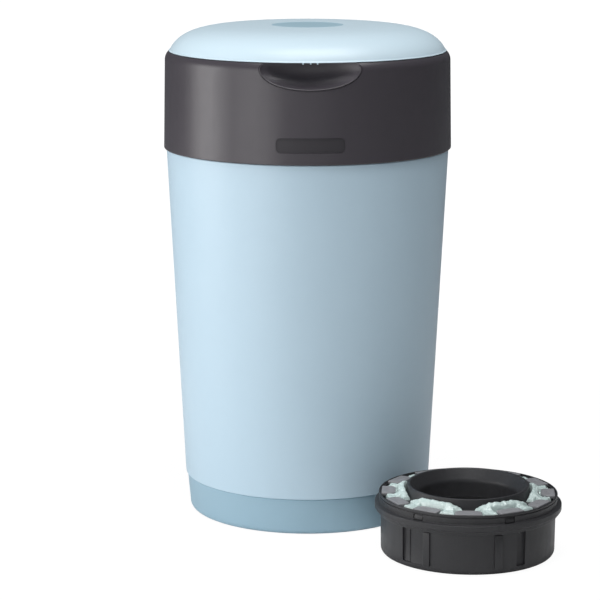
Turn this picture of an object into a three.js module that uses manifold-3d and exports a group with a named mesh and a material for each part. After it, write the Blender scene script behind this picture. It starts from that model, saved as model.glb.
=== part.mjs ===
// A nappy bin: a tapered round tub on a base band, a lift-off head with a domed hinged lid, and inside
// the head a turning carrier that holds a cassette of wrapping film. A second cassette stands beside it.
// Millimetres, +Z up. The origin is the middle of the flat underside, and the lid opens from the front, -Y.

import * as THREE from "three";
import { mergeVertices } from "three/addons/utils/BufferGeometryUtils.js";
import Module from "manifold-3d";

const wasm = await Module();
wasm.setup();

// Numbers of sides of the outer shells, of the round pieces inside the head, and of small rods
const roundSides = 40;
const innerSides = 32;
const smallSides = 12;

// Gaps
const seam = 0.3; // between pieces that meet
const runningGap = 0.6; // between pieces that turn or slide on each other
const boreGap = 0.3; // round a pin or a screw
const overrun = 1; // how far a cut runs past what it cuts
const sink = 0.8; // how far a boss runs into the wall that carries it
const weldTolerance = 0.0001; // corners closer than this are one
const bevelShare = 0.3; // of a rounding's radius, where its one middle point lies in from each face

// Base band
const baseInset = 1.4; // its upper edge, inside the tub's foot
const baseTaper = 3;
const baseHeight = 33.1;
const basePlate = 3.2;
const baseWall = 2.8;
const baseRound = 4.5;

// Non-slip feet, flush in the underside
const footCount = 4;
const footRadius = 9;
const footThickness = 1.1;
const footInset = 17; // middle of a foot, inside the base's edge

// Tub
const tubTaper = 15.3;
const tubHeight = 303;
const tubWall = 2.6;
const tubFloor = 2.8;
const tubEdge = 0.9;
const neckStep = 3.4;
const neckHeight = 20;
const neckWall = 2.6;

// Collar of the head
const collarProud = 2.3; // its lower edge, outside the tub's upper edge
const collarTaper = 1.4;
const collarHeight = 87.4;
const collarWall = 2.6;
const collarEdge = 0.8;
const shoulderHeight = 8.1;
const shoulderShares = [[0.8, 0.26], [0.13, 0.85]]; // points of its curve, outwards and upwards
const shoulderWidth = 3.2;
const landWidth = 18.4; // flat top land, under the lid's rim
const landThickness = 2.9;
const throatWall = 2.6;
const deckDrop = 5.8;
const deckThickness = 2.6;
const deckWidth = 11; // from its round opening to the throat's wall
const deckLap = 2; // of the deck over the ratchet's teeth

// Finger scoop in the front of the collar, cut by an ellipsoid
const scoopHalfWidth = 49.8;
const scoopDepth = 18;
const scoopRise = 19;
const scoopHeight = 22.4; // from the top land to the bottom of the scoop
const scoopWall = 2.4;
const scoopProud = 0.8; // centre of the ellipsoid, outside the collar

// Bare plate in a recess in the front of the collar
const plateWidth = 60;
const plateHeight = 13;
const plateCorner = 4;
const plateRise = 17.1; // its middle, above the collar's lower edge
const plateRecess = 0.9;
const plateShy = 0.35; // its face, below the collar's face

// Lid
const lidShy = 0.2; // its edge, inside the land's outer edge
const lidRise = 26.9;
const lidWall = 2.4;
const lidGap = 0.6; // between the lid's rim and the top land
const domeDrop = 3.4; // the dome's curve starts this far below the top land
const domeSideExponent = 6.2;
const domeCrownExponent = 1.65;
const discRadius = 32;
const discThickness = 0.7;

// Liner, gasket and screws of the lid
const linerClearance = 1.4; // to the throat
const linerWall = 2.2;
const linerDrop = 3.8; // its face, below the top land
const linerFlangeInset = 9.2; // its edge, inside the lid's edge
const linerFlange = 1.9;
const linerChamfer = 1.6;
const gasketInset = 0.6; // its inner edge, outside the throat
const gasketWidth = 4;
const gasketHeight = 2.3;
const lidPostCircle = 70;

// Hinge at the back of the collar
const hingeSetback = 2.4; // its axis, behind the lid's edge
const hingeDrop = 5; // its axis, below the top land
const knuckleRadius = 4.8;
const barrelHalfLength = 12;
const earThickness = 8;
const earReach = 10.6;
const hingePinRadius = 2;
const armInset = 3.5; // inner face of the lid's arm, inside the lid's edge
const armShare = 0.95; // of the knuckle's radius, from its axis to the arm's upper face

// Screws
const screwCount = 4;
const screwRadius = 1.5;
const screwHeadRadius = 3.4;
const screwHead = 1.4;
const screwBite = 9;
const postRadius = 4;
const basePostCircle = 70;

// Chassis under the deck
const chassisDeck = 2.6;
const chassisLap = 9; // of its deck, past the throat
const sleeveClearance = 1.8; // round the carrier's cup
const sleeveWall = 2.4;
const sleeveFloor = 2.6;
const sleeveFloorGap = 4;

// Cassette carrier, which turns in the chassis
const carrierFlange = 2.6;
const ratchetReach = 13.6; // foot of its teeth, outside the cup's bore
const toothDepth = 2.6;
const toothCount = 24;
const toothLead = 0.9; // degrees from a tooth's foot to its tip
const cassetteClearance = 3.8; // round the cassette's flange
const cupWall = 2.4;
const cupFloor = 2.6;
const cupMouthLap = 14; // of its floor under the cassette's foot
const cupSpigot = 8.5;

// Twist ring on the carrier, with its grips
const twistClearance = 1.4; // to the deck's opening
const twistHeight = 5;
const twistChamfer = 1.2;
const gripCount = 4;
const gripInset = 1.6; // from the ring's bore
const gripHalfWidth = 11;
const gripHeight = 5.2;
const gripClearance = 3.6; // under the lid's liner
const gripShare = 0.8; // of its width, at its outer face

// Click pawl
const pawlThickness = 2.8;
const pawlHub = 4.2;
const pawlReach = 11.1; // its pivot, outside the teeth
const pawlPivotAngle = -11.26;
const pawlPinRadius = 1.8;
const pawlPinHead = 1.4;
const noseClearance = 0.6;
const noseHeight = 3.9;
const noseLength = 4.2;

// Clamp fingers under the throat, on their ring
const fingerCount = 4;
const clampInset = 2.4; // its bore, outside the sleeve's mouth
const clampWidth = 14;
const clampThickness = 4;
const fingerInset = 4; // their pins, outside the ring's bore
const fingerPivotDrop = 6;
const fingerBarrel = 2.8;
const fingerPinRadius = 1.5;
const fingerReach = 38;
const fingerRootWidth = 34;
const fingerTipWidth = 26;
const fingerTipShare = 0.67; // of that width, along the straight tip
const fingerBendShare = 0.8; // of its reach, where the corners of the tip begin
const fingerThickness = 2;
const fingerSlope = 25; // degrees below level at rest
const fingerEarThickness = 3;
const fingerEarRadius = 3.4;

// Film cutter on the front of the chassis
const cutterLength = 64;
const cutterDepth = 13;
const cutterHeight = 12;
const cutterRise = 3; // above the chassis's lowest face
const channelWidth = 6.4;
const channelHeight = 6;
const slitWidth = 3.2;
const cutterEnd = 3;
const sliderLength = 14;
const sliderNeck = 8;
const sliderGrip = 4.6;
const sliderGripWidth = 8;
const bladeThickness = 0.6;
const bladeLength = 4.4;

// Cassette
const cassetteFoot = 76; // its outer radius, which sets the radii of all that goes round it
const cassetteDraft = 0.6;
const cassetteRound = 4;
const trayWall = 2.4;
const trayFloor = 2;
const coreRadius = 46.3;
const coreWall = 2.2;
const coreStep = 4; // top of its core, below the top of its wall
const flangeProud = 5;
const flangeTop = 50.6;
const flangeStep = 2.2;
const rimStep = 3.6; // from its widest band in to the narrow rim above
const flangeBand = 6.5; // height of its widest band
const flangeBevel = 0.9;
const rimHeight = 3.4;
const rimWall = 1.8;
const skirtDrop = 16.6; // lower edge of the skirt, below the flange's top
const webDrop = 0.3;
const webThickness = 2.7;
const lipRise = 9.9; // above the flange's top
const lipWall = 2.3;
const boreInset = 0.4; // outer face of the bore's wall, inside the core's
const boreWall = 1.5;
const boreFlare = 7.3; // from that face to the lip's edge
const funnelFlare = 1.6; // from the lip's edge to its foot on the web
const boreDepth = 24.5; // foot of the bore, below the lip
const windowCount = 6;
const windowInset = 1.2; // from the foot of the funnel
const windowMargin = 0.9; // from the rim
const spokeWidth = 7;
const tabLength = 12; // of the tabs on the rim, one to a window and one to a spoke
const tabWidth = 24;
const sideChannels = [[-35.2, 5.5], [36.4, 3.3]]; // degrees from the front, and half widths
const sideRibs = [[-43.9, 3.1], [-27.4, 2.3], [19.7, 2.7]]; // the same
const sideRepeats = 2; // times that this pattern goes round
const channelDepth = 0.9;
const ribProud = 0.8;
const sideMargin = 5.5; // foot of the channels and ribs, above the cassette's foot
const snapCount = 6;
const snapFromFront = 26.65; // degrees
const snapWidth = 9.3;
const snapHeight = 6.8;
const snapRise = 5.4; // above the skirt's lower edge
const snapProud = 1.5;

// Film in the cassette
const pleatCount = 16;
const pleatDepth = 1.6;
const crestShare = 0.22; // of the ring's width, from its outer side to the first line of pleats
const hollowShare = 0.3; // from its inner side to the second line
const filmGap = 1;

// Place of the cassette that stands beside the bin
const spareX = 137.5;
const spareY = -157;
const spareTurn = -4.5; // degrees

// Radii that follow, from the cassette outwards
const cassetteTop = cassetteFoot + cassetteDraft;
const flangeRadius = cassetteTop + flangeProud;
const bandFoot = flangeRadius - flangeStep;
const rimRadius = flangeRadius - rimStep;
const coreOuter = coreRadius + coreWall;
const boreTop = coreRadius - boreInset;
const lipRadius = boreTop + boreFlare;
const funnelFoot = lipRadius + funnelFlare;
const windowInner = funnelFoot + windowInset;
const windowOuter = rimRadius - rimWall - windowMargin;
const cupRadius = flangeRadius + cassetteClearance;
const cupMouthRadius = cassetteFoot - cupMouthLap;
const sleeveRadius = cupRadius + cupWall + sleeveClearance;
const sleeveOuter = sleeveRadius + sleeveWall;
const sleeveMouth = cupMouthRadius + cupWall + 2 * runningGap;
const clampInner = sleeveMouth + clampInset;
const clampOuter = clampInner + clampWidth;
const fingerCircle = clampInner + fingerInset;
const ratchetRoot = cupRadius + ratchetReach;
const ratchetTip = ratchetRoot + toothDepth;
const openingRadius = ratchetRoot - deckLap;
const twistOuter = openingRadius - twistClearance;
const gripInner = cupRadius + gripInset;
const gripOuter = twistOuter - twistChamfer;
const pawlPivotRadius = ratchetTip + pawlReach;
const throatRadius = openingRadius + deckWidth;
const chassisPostCircle = throatRadius + postRadius;
const chassisDeckRadius = throatRadius + chassisLap;
const linerRadius = throatRadius - linerClearance;
const gasketRadius = throatRadius + gasketInset + gasketWidth;
const landRadius = throatRadius + landWidth;
const lidRadius = landRadius - lidShy;
const linerFlangeRadius = lidRadius - linerFlangeInset;
const collarTopRadius = landRadius + shoulderWidth;
const collarRadius = collarTopRadius + collarTaper;
const tubTopRadius = collarRadius - collarProud;
const neckRadius = tubTopRadius - neckStep;
const tubFootRadius = tubTopRadius - tubTaper;
const baseTopRadius = tubFootRadius - baseInset;
const baseRadius = baseTopRadius - baseTaper;
const footCircle = baseRadius - footInset;

// Levels and places that follow from these sizes
const tubBottom = baseHeight + seam;
const tubShoulder = tubBottom + tubHeight;
const collarBottom = tubShoulder + seam;
const landTop = collarBottom + collarHeight;
const shoulderStart = landTop - shoulderHeight;
const deckTop = landTop - deckDrop;
const deckBottom = deckTop - deckThickness;
const lidRim = landTop + lidGap;
const domeStart = landTop - domeDrop;
const hingeY = lidRadius + hingeSetback;
const hingeZ = landTop - hingeDrop;
const notchFace = lidRadius - armInset - seam;
const earInner = barrelHalfLength + runningGap;
const linerFace = landTop - linerDrop;
const twistBottom = linerFace - gripClearance - gripHeight - twistHeight;
const twistTop = twistBottom + twistHeight;
const carrierTop = twistBottom - seam;
const carrierBottom = carrierTop - carrierFlange;
const chassisTop = carrierBottom - runningGap;
const chassisUnder = chassisTop - chassisDeck;
const cassetteZ = carrierTop - flangeTop - runningGap;
const cupFloorTop = cassetteZ - seam;
const cupFloorBottom = cupFloorTop - cupFloor;
const sleeveFloorTop = cupFloorBottom - sleeveFloorGap;
const sleeveFloorBottom = sleeveFloorTop - sleeveFloor;
const clampTop = sleeveFloorBottom - seam;
const clampBottom = clampTop - clampThickness;
const fingerPivotZ = clampBottom - fingerPivotDrop;
const gasketBottom = landTop + seam;
const linerFlangeZ = gasketBottom + gasketHeight + seam;
const webTop = flangeTop - webDrop;
const webBottom = webTop - webThickness;
const trayHeight = webBottom - seam;
const coreHeight = trayHeight - coreStep;
const lipHeight = flangeTop + lipRise;

// The tub's outer radius at a height
const tubRadiusAt = (z) =>
  THREE.MathUtils.mapLinear(z, tubBottom, tubShoulder, tubFootRadius, tubTopRadius);

// The collar's outer radius at a height below its shoulder
const collarRadiusAt = (z) =>
  THREE.MathUtils.mapLinear(z, collarBottom, shoulderStart, collarRadius, collarTopRadius);

// Finishes
const finish = (color, roughness, metalness = 0) =>
  new THREE.MeshStandardMaterial({ color, roughness, metalness });
const paleBlue = finish(0xc3dae6, 0.45);
const bandBlue = finish(0xa5c4d3, 0.5);
const charcoal = finish(0x4a494d, 0.42);
const plateGrey = finish(0x2f2e31, 0.5);
const linerGrey = finish(0x8f9296, 0.5);
const rubber = finish(0x262628, 0.85);
const cassettePlastic = finish(0x39393c, 0.45);
const film = finish(0xcfe3df, 0.35);
const steel = finish(0xb8babd, 0.3, 1);

// A closed geometry as a solid that can be joined and cut
function toSolid(geometry) {
  const bare = geometry.clone();
  bare.deleteAttribute("normal");
  bare.deleteAttribute("uv");
  const merged = mergeVertices(bare, weldTolerance);
  const corners = merged.index.array;
  const kept = [];
  for (let i = 0; i < corners.length; i += 3) {
    const [a, b, c] = corners.slice(i, i + 3);
    if (a !== b && b !== c && c !== a) kept.push(a, b, c);
  }
  return new wasm.Manifold(
    new wasm.Mesh({
      numProp: 3,
      vertProperties: merged.attributes.position.array,
      triVerts: new Uint32Array(kept),
    }),
  );
}

function toGeometry(solid) {
  const mesh = solid.getMesh();
  const geometry = new THREE.BufferGeometry();
  geometry.setAttribute("position", new THREE.BufferAttribute(mesh.vertProperties, 3));
  geometry.setIndex(new THREE.BufferAttribute(mesh.triVerts, 1));
  return geometry;
}

const join = (...pieces) => toGeometry(pieces.map(toSolid).reduce((a, b) => a.add(b)));
const cut = (body, ...tools) =>
  toGeometry(tools.map(toSolid).reduce((a, b) => a.subtract(b), toSolid(body)));
const common = (a, b) => toGeometry(toSolid(a).intersect(toSolid(b)));

// A profile of [radius, height] points, closed on itself or on the axis, turned about Z
function turned(profile, sides = innerSides) {
  const onAxis = profile[0][0] === 0 && profile[profile.length - 1][0] === 0;
  const closed = onAxis ? profile : [...profile, profile[0]];
  const turn = (points) =>
    new THREE.LatheGeometry(
      points.map(([r, z]) => new THREE.Vector2(r, z)),
      sides,
    ).rotateX(Math.PI / 2);
  const geometry = turn(closed);
  return toSolid(geometry).volume() > 0 ? geometry : turn([...closed].reverse());
}

const tube = (inner, outer, low, high, sides = innerSides) =>
  turned([[inner, low], [outer, low], [outer, high], [inner, high]], sides);

const rod = (radius, low, high, sides = smallSides) =>
  new THREE.CylinderGeometry(radius, radius, high - low, sides)
    .rotateX(Math.PI / 2)
    .translate(0, 0, (low + high) / 2);

// A rod along X, centred on x = 0
const crossRod = (radius, halfLength, y, z) =>
  new THREE.CylinderGeometry(radius, radius, 2 * halfLength, smallSides)
    .rotateZ(Math.PI / 2)
    .translate(0, y, z);

const block = ([x0, x1], [y0, y1], [z0, z1]) =>
  new THREE.BoxGeometry(x1 - x0, y1 - y0, z1 - z0).translate(
    (x0 + x1) / 2,
    (y0 + y1) / 2,
    (z0 + z1) / 2,
  );

// A flat outline of [x, y] points, raised from one height to another
function slab(points, low, high) {
  const shape = new THREE.Shape(points.map(([x, y]) => new THREE.Vector2(x, y)));
  return new THREE.ExtrudeGeometry(shape, { depth: high - low, bevelEnabled: false }).translate(
    0,
    0,
    low,
  );
}

const polar = (radius, degrees) => {
  const angle = THREE.MathUtils.degToRad(degrees);
  return [radius * Math.cos(angle), radius * Math.sin(angle)];
};

// Part of a ring between two radii, through an angle either side of a middle angle
function sector(inner, outer, middle, halfAngle, low, high, steps = 3) {
  const swing = Array.from({ length: steps + 1 }, (_, i) => middle + halfAngle * ((2 * i) / steps - 1));
  const outerArc = swing.map((a) => polar(outer, a));
  const innerArc = swing.map((a) => polar(inner, a)).reverse();
  return slab([...outerArc, ...innerArc], low, high);
}

// Copies of a geometry spread round Z, or their places
const around = (count, geometry, radius = 0, first = 0) =>
  Array.from({ length: count }, (_, i) => {
    const [x, y] = polar(radius, first + (360 * i) / count);
    return radius ? geometry.clone().translate(x, y, 0) : turnedBy(geometry, first + (360 * i) / count);
  });
const turnedBy = (geometry, degrees) => geometry.clone().rotateZ(THREE.MathUtils.degToRad(degrees));

function addPart(group, name, geometry, material) {
  const mesh = new THREE.Mesh(geometry, material);
  mesh.name = name;
  group.add(mesh);
  return mesh;
}

// Screws of one kind, head down, spread on a circle, with the face under their heads at a height
function addScrews(group, name, circle, first, seatZ, length) {
  const screw = join(
    rod(screwHeadRadius, -screwHead, 0),
    rod(screwRadius, -sink, length, smallSides / 2),
  );
  for (let i = 0; i < screwCount; i++) {
    const [x, y] = polar(circle, first + (360 * i) / screwCount);
    addPart(group, `${name}_${i + 1}`, screw, steel).position.set(x, y, seatZ - seam);
  }
}

const screwHole = (low, high) => rod(screwRadius + boreGap, low, high, smallSides / 2);

const bin = new THREE.Group();

// Base band, with its feet
const base = new THREE.Group();
bin.add(base);
const counterbore = screwHead + 2 * seam;
const footPocket = rod(footRadius + seam, -overrun, footThickness + seam);
const basePocket = join(
  rod(screwHeadRadius + boreGap, -overrun, counterbore),
  screwHole(-overrun, basePlate + overrun),
);
const baseSection = [
  [0, 0],
  [baseRadius - baseRound, 0],
  [baseRadius - baseRound * bevelShare, baseRound * bevelShare],
  [baseRadius, baseRound],
  [baseTopRadius, baseHeight],
  [baseTopRadius - baseWall, baseHeight],
  [baseRadius - baseWall, basePlate + baseRound],
  [baseRadius - baseWall - baseRound, basePlate],
  [0, basePlate],
];
addPart(
  base,
  "base_band",
  cut(
    turned(baseSection, roundSides),
    ...around(footCount, footPocket, footCircle, 180 / footCount),
    ...around(screwCount, basePocket, basePostCircle),
  ),
  bandBlue,
);
for (let i = 0; i < footCount; i++) {
  const [x, y] = polar(footCircle, (180 + 360 * i) / footCount);
  addPart(base, `foot_pad_${i + 1}`, rod(footRadius, 0, footThickness), rubber).position.set(x, y, 0);
}
addScrews(base, "base_screw", basePostCircle, 0, counterbore, basePlate + screwBite);

// Tub, with a neck that the head drops over and posts that the base is screwed to
const neckTop = tubShoulder + neckHeight;
const tubSection = [
  [0, tubBottom],
  [tubFootRadius - tubEdge, tubBottom],
  [tubFootRadius, tubBottom + tubEdge],
  [tubTopRadius, tubShoulder - tubEdge],
  [tubTopRadius - tubEdge, tubShoulder],
  [neckRadius, tubShoulder],
  [neckRadius, neckTop],
  [neckRadius - neckWall, neckTop],
  [neckRadius - neckWall, tubShoulder],
  [tubRadiusAt(tubShoulder) - tubWall, tubShoulder - 2 * tubWall],
  [tubRadiusAt(tubBottom) - tubWall, tubBottom + tubFloor + baseRound],
  [tubRadiusAt(tubBottom) - tubWall - baseRound, tubBottom + tubFloor],
  [0, tubBottom + tubFloor],
];
const basePost = cut(
  rod(postRadius, basePlate + seam, tubBottom + sink),
  screwHole(basePlate, basePlate + seam + screwBite + screwHead),
);
addPart(
  bin,
  "tub_shell",
  join(turned(tubSection, roundSides), ...around(screwCount, basePost, basePostCircle)),
  paleBlue,
);

// Head: collar with its land, deck, scoop, plate recess, hinge ears and screw posts
const head = new THREE.Group();
bin.add(head);
const collarOutline = [
  [collarRadius - collarEdge, collarBottom],
  [collarRadius, collarBottom + collarEdge],
  [collarTopRadius, shoulderStart],
  ...shoulderShares.map(([out, up]) => [
    THREE.MathUtils.lerp(landRadius, collarTopRadius, out),
    shoulderStart + shoulderHeight * up,
  ]),
  [landRadius, landTop],
];
const collarSection = [
  ...collarOutline,
  [throatRadius, landTop],
  [throatRadius, deckTop],
  [openingRadius, deckTop],
  [openingRadius, deckBottom],
  [throatRadius + throatWall, deckBottom],
  [throatRadius + throatWall, landTop - landThickness],
  [landRadius - collarWall, landTop - landThickness],
  [collarTopRadius - collarWall, shoulderStart - collarWall],
  [collarRadius - collarWall, collarBottom],
];
const collarEnvelope = turned([[0, collarBottom], ...collarOutline, [0, landTop]], roundSides);
const scoopBall = (grow) =>
  new THREE.SphereGeometry(1, 24, 14)
    .rotateX(Math.PI / 2)
    .scale(scoopHalfWidth + grow, scoopDepth + grow, scoopRise + grow)
    .translate(0, -collarTopRadius - scoopProud, landTop - scoopHeight + scoopRise);
const plateZ = collarBottom + plateRise;

// A rounded rectangle, raised along -Y through the front of the collar
function plateBlank(shrink) {
  const halfWidth = plateWidth / 2 - shrink;
  const halfHeight = plateHeight / 2 - shrink;
  const corner = plateCorner - shrink;
  const shape = new THREE.Shape();
  shape.absarc(halfWidth - corner, halfHeight - corner, corner, 0, Math.PI / 2);
  shape.absarc(corner - halfWidth, halfHeight - corner, corner, Math.PI / 2, Math.PI);
  shape.absarc(corner - halfWidth, corner - halfHeight, corner, Math.PI, 1.5 * Math.PI);
  shape.absarc(halfWidth - corner, corner - halfHeight, corner, 1.5 * Math.PI, 2 * Math.PI);
  return new THREE.ExtrudeGeometry(shape, {
    depth: collarRadius,
    bevelEnabled: false,
    curveSegments: 3,
  })
    .rotateX(Math.PI / 2)
    .translate(0, 0, plateZ);
}

// A ring that follows the collar's face, between two depths below it
function faceRing(shallow, deep) {
  const low = plateZ - plateHeight;
  const high = plateZ + plateHeight;
  return turned(
    [
      [collarRadiusAt(low) - deep, low],
      [collarRadiusAt(low) - shallow, low],
      [collarRadiusAt(high) - shallow, high],
      [collarRadiusAt(high) - deep, high],
    ],
    roundSides,
  );
}
const plateCut = common(plateBlank(0), faceRing(-overrun, plateRecess));
const ear = join(
  crossRod(knuckleRadius, earThickness / 2, hingeY, hingeZ),
  block(
    [-earThickness / 2, earThickness / 2],
    [hingeY - earReach, hingeY],
    [hingeZ - knuckleRadius / 2, hingeZ + knuckleRadius / 2],
  ),
);
const earX = earInner + earThickness / 2;
const hingeNotch = block(
  [-earInner, earInner],
  [notchFace, hingeY + knuckleRadius + overrun],
  [hingeZ - knuckleRadius - runningGap, landTop + overrun],
);
const chassisPost = rod(postRadius, chassisTop + seam, landTop - landThickness + sink);
addPart(
  head,
  "head_collar",
  cut(
    join(
      turned(collarSection, roundSides),
      common(scoopBall(scoopWall), collarEnvelope),
      ear.clone().translate(earX, 0, 0),
      ear.clone().translate(-earX, 0, 0),
      ...around(screwCount, chassisPost, chassisPostCircle, 180 / screwCount),
    ),
    scoopBall(0),
    plateCut,
    hingeNotch,
    crossRod(hingePinRadius + boreGap, earInner + earThickness + overrun, hingeY, hingeZ),
    ...around(
      screwCount,
      screwHole(chassisTop, chassisTop + screwBite + screwHead),
      chassisPostCircle,
      180 / screwCount,
    ),
  ),
  charcoal,
);
addPart(
  head,
  "collar_plate",
  common(plateBlank(seam), faceRing(plateShy, plateRecess - seam)),
  plateGrey,
);
addPart(
  head,
  "hinge_pin",
  crossRod(hingePinRadius, earInner + earThickness, hingeY, hingeZ),
  steel,
);

// Chassis: a deck under the collar's, with a sleeve that the carrier turns in
const pawlPivot = polar(pawlPivotRadius, pawlPivotAngle);
const chassisSection = [
  [sleeveRadius, chassisTop],
  [chassisDeckRadius, chassisTop],
  [chassisDeckRadius, chassisUnder],
  [sleeveRadius + sleeveWall, chassisUnder],
  [sleeveRadius + sleeveWall, sleeveFloorBottom],
  [sleeveMouth, sleeveFloorBottom],
  [sleeveMouth, sleeveFloorTop],
  [sleeveRadius, sleeveFloorTop],
];
addPart(
  head,
  "head_chassis",
  cut(
    turned(chassisSection),
    ...around(
      screwCount,
      screwHole(chassisUnder - overrun, chassisTop + overrun),
      chassisPostCircle,
      180 / screwCount,
    ),
    rod(pawlPinRadius + boreGap, chassisUnder - overrun, chassisTop + overrun).translate(...pawlPivot, 0),
  ),
  charcoal,
);
addScrews(head, "chassis_screw", chassisPostCircle, 180 / screwCount, chassisUnder, screwBite);

// Lid: domed shell with its hinge barrel and screw posts
const lid = new THREE.Group();
head.add(lid);
const domeStepShares = [0, 0.06, 0.14, 0.23, 0.33, 0.44, 0.56, 0.7, 0.86, 1];
const innerStepShares = [0, 0.16, 0.36, 0.6, 0.84, 1];

// Half of the dome's outline, from the rim to the axis, at an inset from its outer face
function domeOutline(inset, shares) {
  const rise = lidRise - inset;
  const radius = lidRadius - inset;
  const start = Math.asin(((lidRim - domeStart) / rise) ** (domeCrownExponent / 2));
  return shares.map((share) => {
    const t = THREE.MathUtils.lerp(start, Math.PI / 2, share);
    const r = share === 1 ? 0 : radius * Math.cos(t) ** (2 / domeSideExponent);
    return [r, domeStart + rise * Math.sin(t) ** (2 / domeCrownExponent)];
  });
}
const domeSection = [
  ...domeOutline(0, domeStepShares).reverse(),
  ...domeOutline(lidWall, innerStepShares),
];
const domeTop = domeStart + lidRise;
const linerTop = linerFace + linerWall;
const lidPost = cut(
  rod(postRadius, linerTop + seam, domeTop - lidWall / 2),
  screwHole(linerTop, linerTop + screwBite + screwHead),
);
const armOuter = lidRadius - lidWall / 2;
const armFace = notchFace + seam;
const lidArm = slab(
  [
    [armFace, hingeZ],
    [hingeY, hingeZ],
    [hingeY, hingeZ + knuckleRadius * armShare],
    [armOuter, lidRim],
    [armOuter, lidRim + sink],
    [armFace, lidRim + sink],
  ],
  -barrelHalfLength,
  barrelHalfLength,
)
  .rotateX(Math.PI / 2)
  .rotateZ(Math.PI / 2);
addPart(
  lid,
  "lid_shell",
  cut(
    join(
      turned(domeSection, roundSides),
      ...around(screwCount, lidPost, lidPostCircle, 180 / screwCount),
      lidArm,
      crossRod(knuckleRadius, barrelHalfLength, hingeY, hingeZ),
    ),
    rod(discRadius + seam, domeTop - discThickness - seam, domeTop + overrun, roundSides),
    crossRod(hingePinRadius + boreGap, barrelHalfLength + overrun, hingeY, hingeZ),
  ),
  paleBlue,
);
addPart(
  lid,
  "lid_disc",
  rod(discRadius, domeTop - discThickness, domeTop, roundSides),
  paleBlue,
);

// Liner, a pan inside the dome, and the gasket under its flange
const linerSection = [
  [0, linerFace],
  [linerRadius - linerChamfer, linerFace],
  [linerRadius, linerFace + linerChamfer],
  [linerRadius, linerFlangeZ],
  [linerFlangeRadius, linerFlangeZ],
  [linerFlangeRadius, linerFlangeZ + linerFlange],
  [linerRadius - linerWall, linerFlangeZ + linerFlange],
  [linerRadius - linerWall, linerTop],
  [0, linerTop],
];
addPart(
  lid,
  "lid_liner",
  cut(
    turned(linerSection),
    ...around(
      screwCount,
      screwHole(linerFace - overrun, linerTop + overrun),
      lidPostCircle,
      180 / screwCount,
    ),
  ),
  linerGrey,
);
addPart(
  lid,
  "lid_gasket",
  tube(gasketRadius - gasketWidth, gasketRadius, gasketBottom, gasketBottom + gasketHeight),
  rubber,
);
addScrews(lid, "lid_screw", lidPostCircle, 180 / screwCount, linerFace, screwBite);

// Carrier: a cup with a toothed flange, and the twist ring on it
const carrier = new THREE.Group();
head.add(carrier);
const toothPitch = 360 / toothCount;
const toothPoints = Array.from({ length: toothCount }, (_, i) => [
  polar(ratchetRoot, i * toothPitch),
  polar(ratchetTip, i * toothPitch + toothLead),
]).flat();
const toothRing = cut(
  slab(toothPoints, carrierBottom, carrierTop),
  rod(cupRadius + cupWall / 2, carrierBottom - overrun, carrierTop + overrun, innerSides),
);
const cupSection = [
  [cupMouthRadius, cupFloorTop],
  [cupRadius, cupFloorTop],
  [cupRadius, carrierTop],
  [cupRadius + cupWall, carrierTop],
  [cupRadius + cupWall, cupFloorBottom],
  [cupMouthRadius + cupWall, cupFloorBottom],
  [cupMouthRadius + cupWall, cupFloorBottom - cupSpigot],
  [cupMouthRadius, cupFloorBottom - cupSpigot],
];
addPart(carrier, "carrier_cup", join(turned(cupSection), toothRing), charcoal);
const grip = slab(
  [
    [gripInner, -gripHalfWidth],
    [gripOuter, -gripHalfWidth * gripShare],
    [gripOuter, gripHalfWidth * gripShare],
    [gripInner, gripHalfWidth],
  ],
  twistTop - sink,
  twistTop + gripHeight,
);
const twistSection = [
  [cupRadius, twistBottom],
  [twistOuter, twistBottom],
  [twistOuter, twistTop - twistChamfer],
  [twistOuter - twistChamfer, twistTop],
  [cupRadius + twistChamfer, twistTop],
  [cupRadius, twistTop - twistChamfer],
];
addPart(
  carrier,
  "twist_ring",
  join(turned(twistSection), ...around(gripCount, grip, 0, 180 / gripCount)),
  linerGrey,
);

// Click pawl, whose nose lies in the ratchet, and its pin
const pawl = new THREE.Group();
head.add(pawl);
const pawlBottom = chassisTop + seam;
const pawlTop = pawlBottom + pawlThickness;
const noseRadius = ratchetRoot + noseClearance;
const [pawlX, pawlY] = pawlPivot;
const pawlBlank = slab(
  [
    [noseRadius, -noseClearance - boreGap],
    [noseRadius + noseHeight, noseClearance],
    [pawlX + pawlHub / 2, pawlY + pawlHub / 2],
    [pawlX - pawlHub / 2, pawlY - pawlHub / 2],
    [noseRadius + noseHeight / 2, -noseClearance - noseLength],
  ],
  pawlBottom,
  pawlTop,
);
addPart(
  pawl,
  "click_pawl",
  cut(
    join(pawlBlank, rod(pawlHub, pawlBottom, pawlTop).translate(pawlX, pawlY, 0)),
    rod(pawlPinRadius + boreGap, pawlBottom - overrun, pawlTop + overrun).translate(pawlX, pawlY, 0),
  ),
  linerGrey,
);
addPart(
  head,
  "pawl_pin",
  join(
    rod(pawlPinRadius, chassisUnder, pawlTop + seam + sink),
    rod(pawlHub, pawlTop + seam, pawlTop + seam + pawlPinHead),
  ),
  steel,
).position.set(pawlX, pawlY, 0);

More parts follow.
